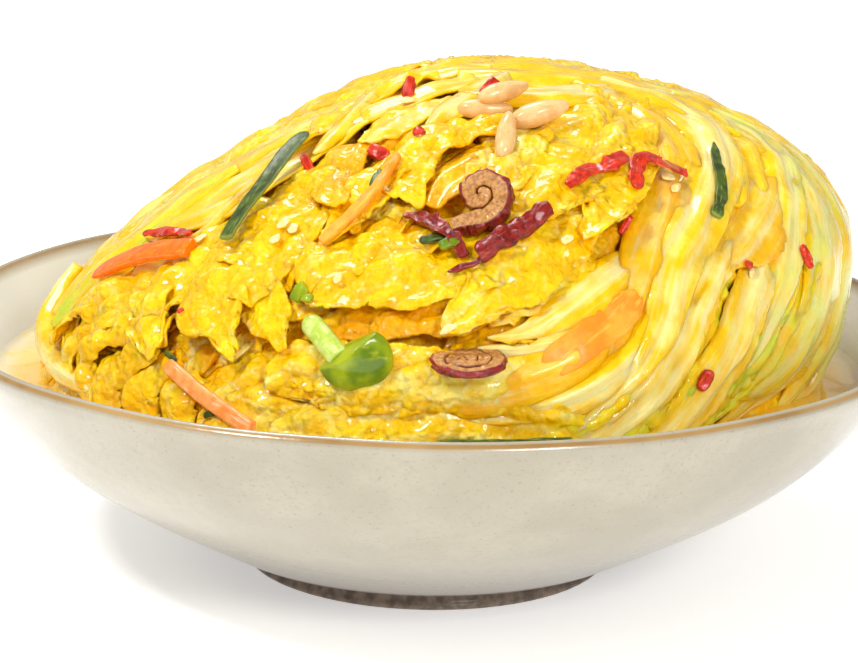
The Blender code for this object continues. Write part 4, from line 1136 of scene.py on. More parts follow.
@dataclass
class Bowl:
    """The wide stoneware bowl on its turned foot, in metres."""

    rim_radius: float
    rim_height: float
    shoulder_radius: float = 0.060
    shoulder_height: float = 0.0078
    straight_share: float = 0.66
    curve_power: float = 4.35
    wall: float = 0.0043
    rim: float = 0.0030
    foot_radius: float = 0.0496
    foot_height: float = 0.0064
    foot_waist: float = 0.0012
    foot_ring: float = 0.006
    foot_recess: float = 0.004
    floor_bend: float = 0.010
    steps: int = 256
    wall_steps: int = 40

    def outside(self, share: float) -> tuple[float, float, tuple[float, float]]:
        """Radius, height and outward normal of the wall's outside, from shoulder (0) to rim (1)."""
        width = self.rim_radius - self.shoulder_radius
        rise = self.rim_height - self.shoulder_height
        curve = 1.0 - self.straight_share
        bent = curve * share**self.curve_power + self.straight_share * share
        steep = curve * self.curve_power * share ** (self.curve_power - 1.0) + self.straight_share
        slope = rise * steep / width
        length = math.hypot(1.0, slope)
        radius = self.shoulder_radius + width * share
        return radius, self.shoulder_height + rise * bent, (slope / length, -1.0 / length)

    def inside(self, share: float) -> tuple[float, float]:
        """Radius and height of the wall's inside at a share of the wall."""
        radius, height, (across, down) = self.outside(share)
        thick = self.wall + (self.rim - self.wall) * share**3
        return radius - across * thick, height - down * thick

    def inside_profile(self) -> list[tuple[float, float]]:
        """Section of the inside, from the rim down to the floor's middle."""
        low_radius, low_height = self.inside(0.0)
        slope = (self.inside(0.05)[1] - low_height) / (self.inside(0.05)[0] - low_radius)
        bottom = low_height - slope * self.floor_bend / 2
        points = [self.inside(1.0 - k / self.wall_steps) for k in range(self.wall_steps + 1)]
        for k in range(1, 6):
            share = k / 5
            points.append((low_radius - self.floor_bend * share, low_height - (low_height - bottom) * (1 - (1 - share) ** 2)))
        points += [(low_radius * k / 8, bottom) for k in (6, 4, 2)] + [(0.0, bottom)]
        return [point for i, point in enumerate(points) if i == 0 or point[0] < points[i - 1][0]]

    def wall_table(self) -> tuple[np.ndarray, np.ndarray]:
        """Heights and radii of the inside in millimetres, from the floor up."""
        points = np.array(self.inside_profile()[::-1]) / MM
        return points[:, 1] + np.arange(len(points)) * 1e-6, points[:, 0]

    def inside_radius(self, height: float) -> float:
        """Radius of the inside at a height."""
        points = self.inside_profile()
        for (high_radius, high), (low_radius, low) in zip(points, points[1:]):
            if low <= height <= high:
                return low_radius + (high_radius - low_radius) * (height - low) / max(high - low, 1e-9)
        return 0.0

    def profile(self) -> list[tuple[float, float]]:
        """The whole section, from the underside's middle to the floor's middle."""
        inner = self.foot_radius - self.foot_ring
        points = [(0.0, self.foot_recess), (inner * 0.5, self.foot_recess), (inner - 0.0022, self.foot_recess)]
        points += [(inner - 0.0010, self.foot_recess * 0.8), (inner - 0.0002, 0.0006), (inner + 0.0006, 0.0)]
        points += [(self.foot_radius - 0.0010, 0.0), (self.foot_radius - 0.0003, 0.0002), (self.foot_radius, 0.0009)]
        for k in range(1, 9):
            share = k / 8
            drawn = self.foot_waist * math.sin(math.pi * min(share * 0.8, 1.0))
            points.append((self.foot_radius - drawn, 0.0009 + (self.foot_height - 0.0009) * share))
        joint = self.outside(0.0)
        points += [(joint[0] - 0.006, joint[1] - 0.0010), (joint[0] - 0.002, joint[1] - 0.0004)]
        points += [self.outside(k / self.wall_steps)[:2] for k in range(self.wall_steps + 1)]
        outer, inner_rim = self.outside(1.0), self.inside(1.0)
        middle = ((outer[0] + inner_rim[0]) / 2, (outer[1] + inner_rim[1]) / 2)
        lip = self.rim * 0.5
        for k in range(1, 8):
            turn = math.pi * k / 8
            along_rim = (middle[0] - outer[0]) * (1 - math.cos(turn)), (middle[1] - outer[1]) * (1 - math.cos(turn))
            points.append((outer[0] + along_rim[0], outer[1] + along_rim[1] + lip * 0.9 * math.sin(turn)))
        return points + self.inside_profile()

    def build(self) -> bpy.types.Object:
        """Makes the bowl."""
        form = turned(self.profile(), self.steps)
        for layer in ("inside_painted_light", "bare"):
            form.verts.layers.float.new(layer)
        inside_painted_light, bare = (form.verts.layers.float[layer] for layer in ("inside_painted_light", "bare"))
        for vert in form.verts:
            radius = math.hypot(vert.co.x, vert.co.y)
            limit = self.inside_radius(vert.co.z)
            # mask for painted light: 1 on the inside of the bowl, which the glaze paints lighter
            vert[inside_painted_light] = 1.0 if limit and radius <= limit + 0.0008 and vert.co.z > 0.008 else 0.0
            over_lip = (radius - self.rim_radius + self.rim) / self.rim if vert.co.z > self.rim_height - 0.0002 else -9.0
            vert[bare] = math.exp(-(((over_lip - 0.78) / 0.15) ** 2)) + 0.55 * math.exp(-(((over_lip - 0.1) / 0.12) ** 2))
            reach = radius / self.rim_radius
            sway = noise.noise(Vector((vert.co.x * 22.0, vert.co.y * 22.0, 4.0)))
            vert.co.z += 0.0004 * sway * reach**6
        return finish_piece("stoneware_bowl", form, self.finish(), ("bowl",))

    def finish(self) -> bpy.types.Material:
        """Warm grey speckled glaze with painted shade darkening it towards the foot and painted light making the inside
        lighter than the outside, bare brown rim line and bare brown-grey foot.
        """
        made, shader = start_material(
            "speckled_glaze", {"IOR": 1.5, "Coat Weight": 0.25, "Coat Roughness": 0.08}
        )
        tree = made.node_tree
        where = object_coords(tree)
        level = add_node(tree, "ShaderNodeSeparateXYZ", {}, {0: where}).outputs["Z"]
        broad = noise_at(tree, where, 30.0, 3.0)
        cloud = noise_at(tree, where, 3.0, 3.0)
        speck = noise_at(tree, where, 0.9, 2.0)
        dot = noise_at(tree, where, 1.5, 1.0)
        glaze = mix_colours(tree, scaled(tree, broad, 0.35, 0.65), srgb("A39B87"), srgb("AEA692"))
        glaze = mix_colours(tree, scaled(tree, cloud, 0.4, 0.9), glaze, srgb("A49D8A"))
        glaze = mix_colours(tree, scaled(tree, speck, 0.56, 0.9), glaze, srgb("8C826C"))
        glaze = mix_colours(tree, scaled(tree, dot, 0.72, 0.9), glaze, srgb("8A7A60"))
        # painted shade: the outer glaze darkens towards the bottom, where less light falls on the lower flank
        glaze = mix_colours(tree, scaled(tree, level, 0.034, 0.008), glaze, srgb("857C69"))
        wander = add_node(
            tree, "ShaderNodeMath", {"operation": "MULTIPLY_ADD"}, {0: broad, 1: 0.0006, 2: level}
        ).outputs[0]
        inside_painted_light = add_node(tree, "ShaderNodeAttribute", {"attribute_name": "inside_painted_light"}).outputs["Fac"]
        # painted light: the inside is painted much lighter than the outer glaze, standing in for light that the heap
        # shades off
        glaze = mix_colours(tree, inside_painted_light, glaze, srgb("DCE2DC"))
        low = scaled(tree, wander, self.foot_height + 0.0050, self.foot_height + 0.0012)
        body = mix_colours(tree, low, glaze, srgb("6E6256"))
        lip = add_node(tree, "ShaderNodeAttribute", {"attribute_name": "bare"}).outputs["Fac"]
        edge = scaled(tree, lip, 0.25, 0.8)
        rim_tone = mix_colours(tree, scaled(tree, broad, 0.35, 0.65), srgb("96703A"), srgb("B08C54"))
        body = mix_colours(tree, edge, body, rim_tone)
        bare = scaled(tree, level, self.foot_height + 0.0006, self.foot_height - 0.0004)
        clay = mix_colours(tree, scaled(tree, cloud, 0.35, 0.65), srgb("655648"), srgb("8E7C6C"))
        body = mix_colours(tree, bare, body, clay)
        tree.links.new(body, shader.inputs["Base Color"])
        rough = add_node(
            tree, "ShaderNodeMapRange", {}, {"Value": bare, "To Min": 0.24, "To Max": 0.75}
        ).outputs["Result"]
        tree.links.new(rough, shader.inputs["Roughness"])
        bump = add_node(tree, "ShaderNodeBump", {}, {"Height": speck, "Distance": 0.00015, "Strength": 0.35})
        bump = add_node(
            tree, "ShaderNodeBump", {}, {"Height": cloud, "Distance": 0.0003, "Strength": 0.12, "Normal": bump.outputs[0]}
        )
        tree.links.new(bump.outputs["Normal"], shader.inputs["Normal"])
        return made


@dataclass
class Broth:
    """The pool of yellow broth round the cabbage, in metres."""

    level: float
    bite: float = 0.0004
    creep: float = 0.0012
    steps: int = 256

    def build(self, bowl: Bowl) -> bpy.types.Object:
        """Makes the broth as a closed body.

        Args:
            bowl: what holds it.

        Returns:
            The piece.
        """
        reach = bowl.inside_radius(self.level + self.creep) + self.bite
        under = [(0.0, 0.0120)]
        for k in range(1, 13):
            height = 0.0120 + (self.level - 0.0120) * k / 12
            under.append((bowl.inside_radius(height) + self.bite, height))
        over = [(reach, self.level + self.creep)]
        for k in range(1, 8):
            away = 0.0005 * k * k / 4
            over.append((reach - self.bite - away, self.level + self.creep * math.exp(-away / 0.0014)))
        over += [(reach * share, self.level) for share in (0.93, 0.9, 0.87, 0.84, 0.81, 0.78, 0.74, 0.7, 0.6, 0.4, 0.2, 0.0)]
        form = turned(under + over, self.steps)
        depth = form.verts.layers.float.new("depth")
        for vert in form.verts:
            radius = math.hypot(vert.co.x, vert.co.y)
            if vert.co.z > self.level - 0.0001 and radius < reach - 0.003:
                vert.co.z += 0.00015 * noise.noise(vert.co * 90.0)
            drop = 0.0
            if vert.co.z > self.level - 0.0005:
                drop = max(0.0, (bowl.inside_radius(self.level) - radius) * 0.62)
            vert[depth] = min(1.0, drop / 0.012)
        return finish_piece("broth_pool", form, self.finish(), ("broth",))

    def finish(self) -> bpy.types.Material:
        """Clear orange-yellow pickling broth, paler where it thins out against the wall."""
        made, shader = start_material(
            "pickling_broth",
            {
                "Roughness": 0.05,
                "IOR": 1.34,
                "Subsurface Weight": 0.3,
                "Subsurface Scale": 0.006,
                "Subsurface Radius": (1.0, 0.6, 0.15),
                "Coat Weight": 0.6,
                "Coat Roughness": 0.02,
            },
        )
        tree = made.node_tree
        where = object_coords(tree)
        depth = add_node(tree, "ShaderNodeAttribute", {"attribute_name": "depth"}).outputs["Fac"]
        cloud = noise_at(tree, where, 9.0, 4.0)
        bits = noise_at(tree, where, 1.1, 2.0)
        shade = mix_colours(tree, scaled(tree, depth, 0.0, 0.35), srgb("ECDDB6"), srgb("F4D078"))
        shade = mix_colours(tree, scaled(tree, depth, 0.25, 0.9), shade, srgb("FAC63C"))
        shade = mix_colours(tree, scaled(tree, cloud, 0.5, 0.8), shade, srgb("FAD24C"))
        shade = mix_colours(tree, scaled(tree, bits, 0.66, 0.74), shade, srgb("E89C20"))
        tree.links.new(shade, shader.inputs["Base Color"])
        ripple = noise_at(tree, where, 12.0, 2.0)
        bump = add_node(tree, "ShaderNodeBump", {}, {"Height": ripple, "Distance": 0.0006, "Strength": 0.35})
        tree.links.new(bump.outputs["Normal"], shader.inputs["Normal"])
        return made


# ---------------------------------------------------------------- toppings


@dataclass(frozen=True)
class Flesh:
    """Finish of a vegetable piece: two tones in blotches with lengthwise fibres."""

    name: str
    slot: str
    tone: str
    other: str
    fleck: str
    shine: float = 0.22
    blotch: float = 3.0
    fibre: float = 0.8
    depth: float = 0.0003
    scatter: float = 0.2

    def make(self) -> bpy.types.Material:
        """The material, made once."""
        found = bpy.data.materials.get(self.name)
        if found:
            return found
        made, shader = start_material(
            self.name,
            {
                "Roughness": self.shine,
                "Subsurface Weight": self.scatter,
                "Subsurface Scale": 0.002,
                "Subsurface Radius": (1.0, 0.5, 0.25),
                "Specular IOR Level": 0.3,
                "Coat Weight": 0.4 if self.shine < 0.3 else 0.1,
                "Coat Roughness": 0.05,
                "Coat IOR": 1.35,
            },
        )
        tree = made.node_tree
        where = object_coords(tree)
        run = add_node(tree, "ShaderNodeAttribute", {"attribute_name": "fibre"}).outputs["Vector"]
        drawn = add_node(tree, "ShaderNodeMapping", {}, {"Vector": run, "Scale": (0.15, 1.0, 1.0)})
        cloud = noise_at(tree, where, self.blotch, 3.0)
        strand = noise_at(tree, drawn.outputs["Vector"], self.fibre, 4.0)
        grain = noise_at(tree, where, 0.7, 3.0)
        shade = mix_colours(tree, scaled(tree, cloud, 0.38, 0.66), srgb(self.tone), srgb(self.other))
        shade = mix_colours(tree, scaled(tree, strand, 0.56, 0.74), shade, srgb(self.fleck))
        edge = add_node(tree, "ShaderNodeAttribute", {"attribute_name": "edge"}).outputs["Fac"]
        shade = mix_colours(tree, edge, shade, srgb(self.fleck))
        tree.links.new(shade, shader.inputs["Base Color"])
        rough = add_node(tree, "ShaderNodeBump", {}, {"Height": strand, "Distance": self.depth, "Strength": 0.5})
        bump = add_node(
            tree, "ShaderNodeBump", {}, {"Height": grain, "Distance": self.depth, "Strength": 0.35, "Normal": rough.outputs[0]}
        )
        tree.links.new(bump.outputs["Normal"], shader.inputs["Normal"])
        return made


CARROT = Flesh("carrot_flesh", "carrot", "FF7A0A", "F86400", "FF9A30", 0.2, 3.0, 0.9, 0.00015, 0.3)
# painted highlight: paler, pinkish tones stand for the sheen on this carrot strip's top face
CARROT_PAINTED_SHEEN = Flesh("carrot_flesh_painted_sheen", "carrot", "FFA45C", "FF8A3C", "FFD2AC", 0.12, 3.0, 0.9, 0.0003, 0.3)
CARROT_SOAKED = Flesh("soaked_carrot_flesh", "carrot", "FF8E1A", "FFA62C", "FFBC48", 0.5, 6.0, 1.2, 0.0002, 0.5)
SCALLION = Flesh("scallion_green", "scallion", "4A5C14", "2C3A0A", "8E9C44", 0.42, 3.0, 0.5, 0.0002, 0.0)
SCALLION_PALE = Flesh("scallion_white_end", "scallion_white", "AEC642", "CBDA7C", "DFE6A4", 0.16, 3.0, 0.6, 0.0001, 0.35)
PEPPER = Flesh("green_pepper_flesh", "green_pepper", "96A60A", "5C7808", "B8BA28", 0.12, 9.0, 2.6, 0.0001, 0.25)
CHILI = Flesh("red_chili_flesh", "red_chili", "D22E0C", "A01A06", "EE6A30", 0.14, 1.8, 0.6, 0.0004, 0.0)
NUT = Flesh("pine_nut_kernel", "pine_nut", "E6C286", "DCAE6E", "EFD4A2", 0.22, 3.0, 0.7, 0.0001, 0.35)
SEED = Flesh("pale_seed", "pine_nut", "F3DF9C", "E7C76A", "FBF0C8", 0.3, 1.0, 0.4, 0.0001, 0.3)
SKIN = Flesh("jujube_skin", "jujube", "8A160C", "5E0A06", "B84426", 0.18, 1.4, 0.5, 0.0004, 0.0)


def set_run(form: bmesh.types.BMesh, runs: list[Point], edges: list[float]) -> None:
    """Stores the lengthwise coordinates (mm) and the cut-edge share of each vertex."""
    fibre = form.verts.layers.float_vector.get("fibre") or form.verts.layers.float_vector.new("fibre")
    edge = form.verts.layers.float.get("edge") or form.verts.layers.float.new("edge")
    for vert, run, share in zip(form.verts, runs, edges):
        vert[fibre] = Vector(run) * MM
        vert[edge] = share


@dataclass(frozen=True)
class Strip:
    """A cut strip of vegetable lying over the leaves, in millimetres."""

    name: str
    finish: Flesh
    width: float
    thick: float
    path: tuple[Point, ...]
    nodes: tuple[str, ...] = ()
    sunk: float = 0.4
    roll: tuple[float, float] = (0.0, 0.0)  # degrees about its length, start and end
    bow: float = 0.0  # hollowness across
    rough: float = 0.15
    jagged: float = 0.0  # how much the width varies
    taper: tuple[float, float] = (0.85, 0.85)
    caps: tuple[float, float] = (0.0, 0.0)  # length that each end takes to round off
    square: float = 0.75  # 0 gives a round section
    pale_edge: float = 0.0
    stiff: bool = False
    seed: int = 0
    rows: int = 38
    around: int = 20

    def middle(self, ground: Ground) -> tuple[np.ndarray, np.ndarray]:
        """The strip's middle line over the leaves that carry it, and the way up there."""
        line = curve_through(self.path, self.rows + 1)
        found = [ground.drop(tuple(point), self.width * 0.3) for point in line]
        starts, faced, views, height = (np.array(column) for column in zip(*found))
        if self.stiff:
            share = np.linspace(0.0, 1.0, self.rows + 1)
            straight = np.polyval(np.polyfit(share, height, 1), share)
            level = straight + np.quantile(height - straight, 0.8)
        else:
            level = np.convolve(np.pad(height, 4, mode="edge"), np.ones(9) / 9, mode="valid")
            level = np.maximum(level, height - 0.6)
        off = (self.thick / 2 - self.sunk) / np.maximum(0.45, (views * faced).sum(axis=1))
        return starts + views * (level + off)[:, None], faced

    def slimness(self, here: float, length: float) -> float:
        """Share of the full width at a share of the length."""
        slim = 1.0 - (1.0 - self.taper[0]) * math.exp(-here * 9.0) - (1.0 - self.taper[1]) * math.exp((here - 1.0) * 9.0)
        for cap, away in zip(self.caps, (here, 1.0 - here)):
            if cap:
                slim *= math.sqrt(1.0 - (1.0 - min(1.0, away * length / cap)) ** 2)
        return slim * (1.0 + self.jagged * noise.noise(Vector((here * length / 3.4, self.seed * 3.0, 0.0))))

    def build(self, ground: Ground) -> bpy.types.Object:
        """Lays the strip.

        Args:
            ground: the leaves that carry it.

        Returns:
            The piece.
        """
        middle, faced = self.middle(ground)
        heading = np.gradient(middle, axis=0)
        length = float(np.linalg.norm(heading, axis=1).sum())
        heading /= np.linalg.norm(heading, axis=1)[:, None]
        side = np.cross(faced, heading)
        side /= np.linalg.norm(side, axis=1)[:, None]
        over = np.cross(heading, side)
        form = bmesh.new()
        bmesh.ops.create_cone(
            form, cap_ends=True, cap_tris=False, segments=self.around, radius1=1.0, radius2=1.0, depth=2.0
        )
        lengthwise = [e for e in form.edges if abs(e.verts[0].co.z - e.verts[1].co.z) > 1.0]
        bmesh.ops.subdivide_edges(form, edges=lengthwise, cuts=self.rows - 1, use_grid_fill=False)
        ends = [f for f in form.faces if len(f.verts) == self.around]
        bmesh.ops.inset_region(form, faces=ends, thickness=0.25, depth=0.0)
        runs, edges = [], []
        for vert in form.verts:
            here = (vert.co.z + 1.0) / 2.0
            row = here * self.rows
            centre, aside, up = (
                Vector([float(np.interp(row, np.arange(self.rows + 1), column[:, k])) for k in range(3)])
                for column in (middle, side, over)
            )
            turn = math.atan2(vert.co.y, vert.co.x)
            reach = min(1.0, math.hypot(vert.co.x, vert.co.y))
            square = 1.0 / max(abs(math.cos(turn)), abs(math.sin(turn))) ** self.square
            slim = self.slimness(here, length)
            a = math.cos(turn) * reach * square * self.width / 2 * slim
            b = math.sin(turn) * reach * square * self.thick / 2 * (slim if any(self.caps) else 0.75 + 0.25 * slim)
            b += self.bow * ((2.0 * a / self.width) ** 2 - 0.4)
            tilt = math.radians(self.roll[0] * (1 - here) + self.roll[1] * here)
            a, b = a * math.cos(tilt) - b * math.sin(tilt), a * math.sin(tilt) + b * math.cos(tilt)
            spot = centre + aside * a + up * b
            spot += Vector(noise.noise_vector(spot / 2.6 + Vector((self.seed * 5.0, 0, 0)))) * self.rough * 2.0
            runs.append((here * length, a, b))
            rim = self.pale_edge if abs(math.cos(turn)) > 0.93 and reach > 0.8 else 0.0
            at_end = min(here, 1.0 - here) * self.rows < 0.6
            edges.append(max(rim, 0.75 if at_end and self.pale_edge else 0.0))
            vert.co = spot * MM
        set_run(form, runs, edges)
        bmesh.ops.recalc_face_normals(form, faces=form.faces)
        piece = finish_piece(self.name, form, self.finish.make(), self.nodes)
        smooth = piece.modifiers.new("rounding", "SUBSURF")
        smooth.levels = smooth.render_levels = 1
        return piece


@dataclass(frozen=True)
class PepperPiece:
    """A piece of green pepper: a dome with one straight cut side, in millimetres."""

    name: str
    place: Point
    sizes: Point = (8.8, 4.2, 7.6)  # half sizes across, towards the front, and up
    cut: Point = (-0.62, -0.05, 0.78)
    kept: float = 0.45  # how far the cut lies from the middle, of the half size

    def build(self, ground: Ground) -> bpy.types.Object:
        """Makes the piece where its CAD node is."""
        centre = ground.rest(self.place, 1.0)[0]
        cut = Vector(self.cut).normalized()
        form = bmesh.new()
        bmesh.ops.create_uvsphere(form, u_segments=64, v_segments=48, radius=1.0)
        runs, edges = [], []
        for vert in form.verts:
            beyond = vert.co.dot(cut) - self.kept * (1.0 - 0.25 * vert.co.cross(cut).length ** 2)
            on_cut = beyond > 0.0
            if on_cut:
                vert.co -= cut * beyond * 0.94
            local = Vector([c * size for c, size in zip(vert.co, self.sizes)])
            local += Vector(noise.noise_vector(local / 7.0)) * 0.7
            runs.append(tuple(local))
            edges.append(0.35 if on_cut else 0.0)
            vert.co = (centre + local) * MM
        set_run(form, runs, edges)
        bmesh.ops.recalc_face_normals(form, faces=form.faces)
        return finish_piece(self.name + "_piece", form, PEPPER.make(), (self.name,))


@dataclass(frozen=True)
class PineNut:
    """A pine nut kernel, blunt and a little thinner at one end, in millimetres."""

    name: str
    place: Point
    heading: Point
    length: float = 14.0
    radius: float = 2.8

    def build(self, ground: Ground) -> bpy.types.Object:
        """Lays the nut where its CAD node is."""
        centre = ground.rest(self.place, self.radius * 0.7)[0]
        axis = Vector(self.heading).normalized()
        side = axis.cross(Vector((0.0, -0.3, 0.95))).normalized()
        frame = Matrix((axis, side, axis.cross(side))).transposed()
        form = bmesh.new()
        bmesh.ops.create_uvsphere(form, u_segments=36, v_segments=32, radius=1.0)
        runs = []
        for vert in form.verts:
            share = (vert.co.z + 1.0) / 2.0
            ring = math.hypot(vert.co.x, vert.co.y)
            belly = ring**0.82 * (1.0 - 0.3 * share**1.6)
            unit = (vert.co.x / ring, vert.co.y / ring) if ring > 1e-6 else (0.0, 0.0)
            run = (share - 0.5) * self.length
            local = Vector((run, unit[0] * belly * self.radius, unit[1] * belly * self.radius))
            local += Vector(noise.noise_vector(local / 3.0 + centre)) * 0.12
            runs.append((run, unit[0] * 3.0, unit[1] * 3.0))
            vert.co = (centre + frame @ local) * MM
        set_run(form, runs, [0.0] * len(runs))
        bmesh.ops.recalc_face_normals(form, faces=form.faces)
        return finish_piece(self.name + "_kernel", form, NUT.make(), (self.name,))


@dataclass(frozen=True)
class JujubeRoll:
    """A slice through a rolled dried jujube: a band of tan flesh in dark red skin, wound up, in millimetres."""

    name: str
    place: Point
    facing: Point
    band: tuple[float, float]  # width of the band, at the middle of the roll and at its end
    turns: float
    depth: float  # of the slice
    loose: float = 1.0  # gap between the windings, 1 for none
    arm: float = 0.0  # length of the end that stands away
    turned: float = 0.0  # degrees
    mirrored: bool = False
    rise: float = 1.0  # how far the middle stands off the leaves
    seed: int = 0
    around: int = 28

    def winding(self) -> tuple[np.ndarray, np.ndarray]:
        """Middle line of the band from the inside out, and its half width along it."""
        share = np.linspace(0.0, 1.0, round(70 * self.turns))
        wide = self.band[0] + (self.band[1] - self.band[0]) * share
        turn = math.tau * self.turns * share
        radius = np.cumsum(wide * self.loose) / len(share) * self.turns
        line = np.column_stack([radius * np.cos(turn), radius * np.sin(turn)])
        if self.arm:
            heading = (line[-1] - line[-2]) / np.linalg.norm(line[-1] - line[-2])
            out = np.array([heading[1], -heading[0]])
            reach = np.linspace(0.0, self.arm, 26)[1:, None]
            line = np.vstack([line, line[-1] + heading * reach + out * reach**2 * 0.03])
            wide = np.concatenate([wide, np.linspace(wide[-1], wide[-1] * 0.7, 25)])
        grown = np.minimum(1.0, np.linspace(0.0, len(line) / 14.0, len(line)) + 0.25)
        return line, wide / 2 * grown

    def build(self, ground: Ground) -> bpy.types.Object:
        """Makes the roll where its CAD node is."""
        line, half = self.winding()
        rows = len(line) - 1
        angle = math.radians(self.turned)
        rotation = np.array([[math.cos(angle), math.sin(angle)], [-math.sin(angle), math.cos(angle)]])
        hand = -1.0 if self.mirrored else 1.0
        line = line @ rotation * np.array([hand, 1.0])
        line = line - (line.max(axis=0) + line.min(axis=0)) / 2
        heading = np.gradient(line, axis=0)
        heading /= np.linalg.norm(heading, axis=1)[:, None]
        face = Vector(self.facing).normalized()
        side = Vector((1.0, 0.0, 0.0))
        side = (side - face * side.dot(face)).normalized()
        frame = Matrix((side, face.cross(side), face)).transposed()
        centre = ground.rest(self.place, self.rise, 3.0)[0]
        form = bmesh.new()
        bmesh.ops.create_cone(
            form, cap_ends=True, cap_tris=False, segments=self.around, radius1=1.0, radius2=1.0, depth=2.0
        )
        lengthwise = [e for e in form.edges if abs(e.verts[0].co.z - e.verts[1].co.z) > 1.0]
        bmesh.ops.subdivide_edges(form, edges=lengthwise, cuts=rows - 1, use_grid_fill=False)
        tone = form.verts.layers.float_color.new("tone")
        for vert in form.verts:
            row = min(rows, round((vert.co.z + 1.0) / 2.0 * rows))
            turn = math.atan2(vert.co.y, vert.co.x)
            square = 1.0 / max(abs(math.cos(turn)), abs(math.sin(turn))) ** 0.8
            outward, level = math.cos(turn) * square, math.sin(turn) * square
            place = line[row]
            last = row / rows
            bump = noise.noise(Vector((place[0] * 0.45, place[1] * 0.45, level * 0.8 + self.seed)))
            fine = noise.noise(Vector((place[0] * 1.3, place[1] * 1.3, level * 1.1 + self.seed)))
            skin = eased(np.array([(outward - 0.45) / 0.4]))[0] * (0.35 + 0.65 * (last > 1.0 - 1.0 / self.turns))
            wide = half[row] * (1.0 + skin * (0.35 * bump + 0.45 * fine))
            spot = place + np.array([heading[row][1], -heading[row][0]]) * hand * outward * wide
            height = level * self.depth / 2 * (1.0 + 0.14 * bump) + 0.5 * bump + 0.25 * fine
            height -= math.copysign(0.35, level) * (1.0 - abs(outward)) + 0.4 * (abs(outward) > 0.9) * level
            vert.co = (centre + frame @ Vector((spot[0], spot[1], height))) * MM
            vert[tone] = Vector((skin, float(abs(outward) > 0.86) * 0.8, 0.5 + 0.5 * bump, 1.0))
        bmesh.ops.recalc_face_normals(form, faces=form.faces)
        piece = finish_piece(self.name + "_cut", form, self.finish(), (self.name,))
        smooth = piece.modifiers.new("rounding", "SUBSURF")
        smooth.levels = smooth.render_levels = 1
        return piece

    @staticmethod
    def finish() -> bpy.types.Material:
        """Spongy tan flesh with dark rolled lines and glossy wrinkled skin."""
        found = bpy.data.materials.get("jujube_flesh")
        if found:
            return found
        made, shader = start_material(
            "jujube_flesh", {"Subsurface Weight": 0.15, "Subsurface Scale": 0.0015, "Coat Weight": 0.15}
        )
        tree = made.node_tree
        where = object_coords(tree)
        tone = add_node(tree, "ShaderNodeAttribute", {"attribute_name": "tone"}).outputs["Color"]
        split = add_node(tree, "ShaderNodeSeparateColor", {}, {"Color": tone})
        grain = noise_at(tree, where, 0.9, 4.0)
        cloud = noise_at(tree, where, 3.0, 3.0)
        flesh = mix_colours(tree, scaled(tree, grain, 0.4, 0.66), srgb("C28A44"), srgb("965C24"))
        flesh = mix_colours(tree, scaled(tree, split.outputs["Green"], 0.25, 0.85), flesh, srgb("6E3A18"))
        skin = mix_colours(tree, scaled(tree, cloud, 0.35, 0.65), srgb("620C10"), srgb("8E1A1A"))
        shade = mix_colours(tree, scaled(tree, split.outputs["Red"], 0.25, 0.6), flesh, skin)
        tree.links.new(shade, shader.inputs["Base Color"])
        rough = add_node(
            tree, "ShaderNodeMapRange", {}, {"Value": split.outputs["Red"], "To Min": 0.55, "To Max": 0.24}
        ).outputs["Result"]
        tree.links.new(rough, shader.inputs["Roughness"])
        bump = add_node(tree, "ShaderNodeBump", {}, {"Height": grain, "Distance": 0.0004, "Strength": 0.7})
        tree.links.new(bump.outputs["Normal"], shader.inputs["Normal"])
        return made


@dataclass(frozen=True)
class Scraps:
    """Small flakes, seeds and crumbs strewn over the leaves, in millimetres."""

    name: str
    finish: Flesh
    pieces: tuple[tuple[Point, tuple[float, float, float], float], ...]  # place, half sizes, turn in degrees
    flat: bool = True
    facing: float = 0.0  # how far they turn from lying flat towards the front, from 0 to 1

    def build(self, ground: Ground) -> bpy.types.Object:
        """Drops the scraps on the leaves and joins them."""
        form = bmesh.new()
        runs, edges = [], []
        for number, (place, (long, wide, thick), turn) in enumerate(self.pieces):
            spot, away = ground.rest(place, thick * 0.75, 0.8)
            up = away.lerp(Vector((0.0, -0.95, 0.3)), self.facing if long > 2.5 else 0.0).normalized()
            first = (Vector((1.0, 0.0, 0.0)) - up * up.x).normalized()
            second = up.cross(first)
            angle = math.radians(turn)
            axis = first * math.cos(angle) + second * math.sin(angle)
            frame = Matrix((axis, up.cross(axis), up)).transposed()
            made = bmesh.ops.create_icosphere(form, subdivisions=3, radius=1.0)["verts"]
            for vert in made:
                x, y, z = vert.co
                if self.flat:
                    x, y = (math.copysign(abs(c) ** 0.55, c) for c in (x, y))
                    z += 0.5 * math.sin(x * 2.0 + number)
                local = Vector((x * long, y * wide, z * thick))
                local += Vector(noise.noise_vector(local * 0.9 + Vector((number * 3.1, 0, 0)))) * min(wide, long) * 0.28
                runs.append(tuple(local))
                edges.append(0.0)
                vert.co = (spot + frame @ local) * MM
        set_run(form, runs, edges)
        return finish_piece(self.name, form, self.finish.make(), ())


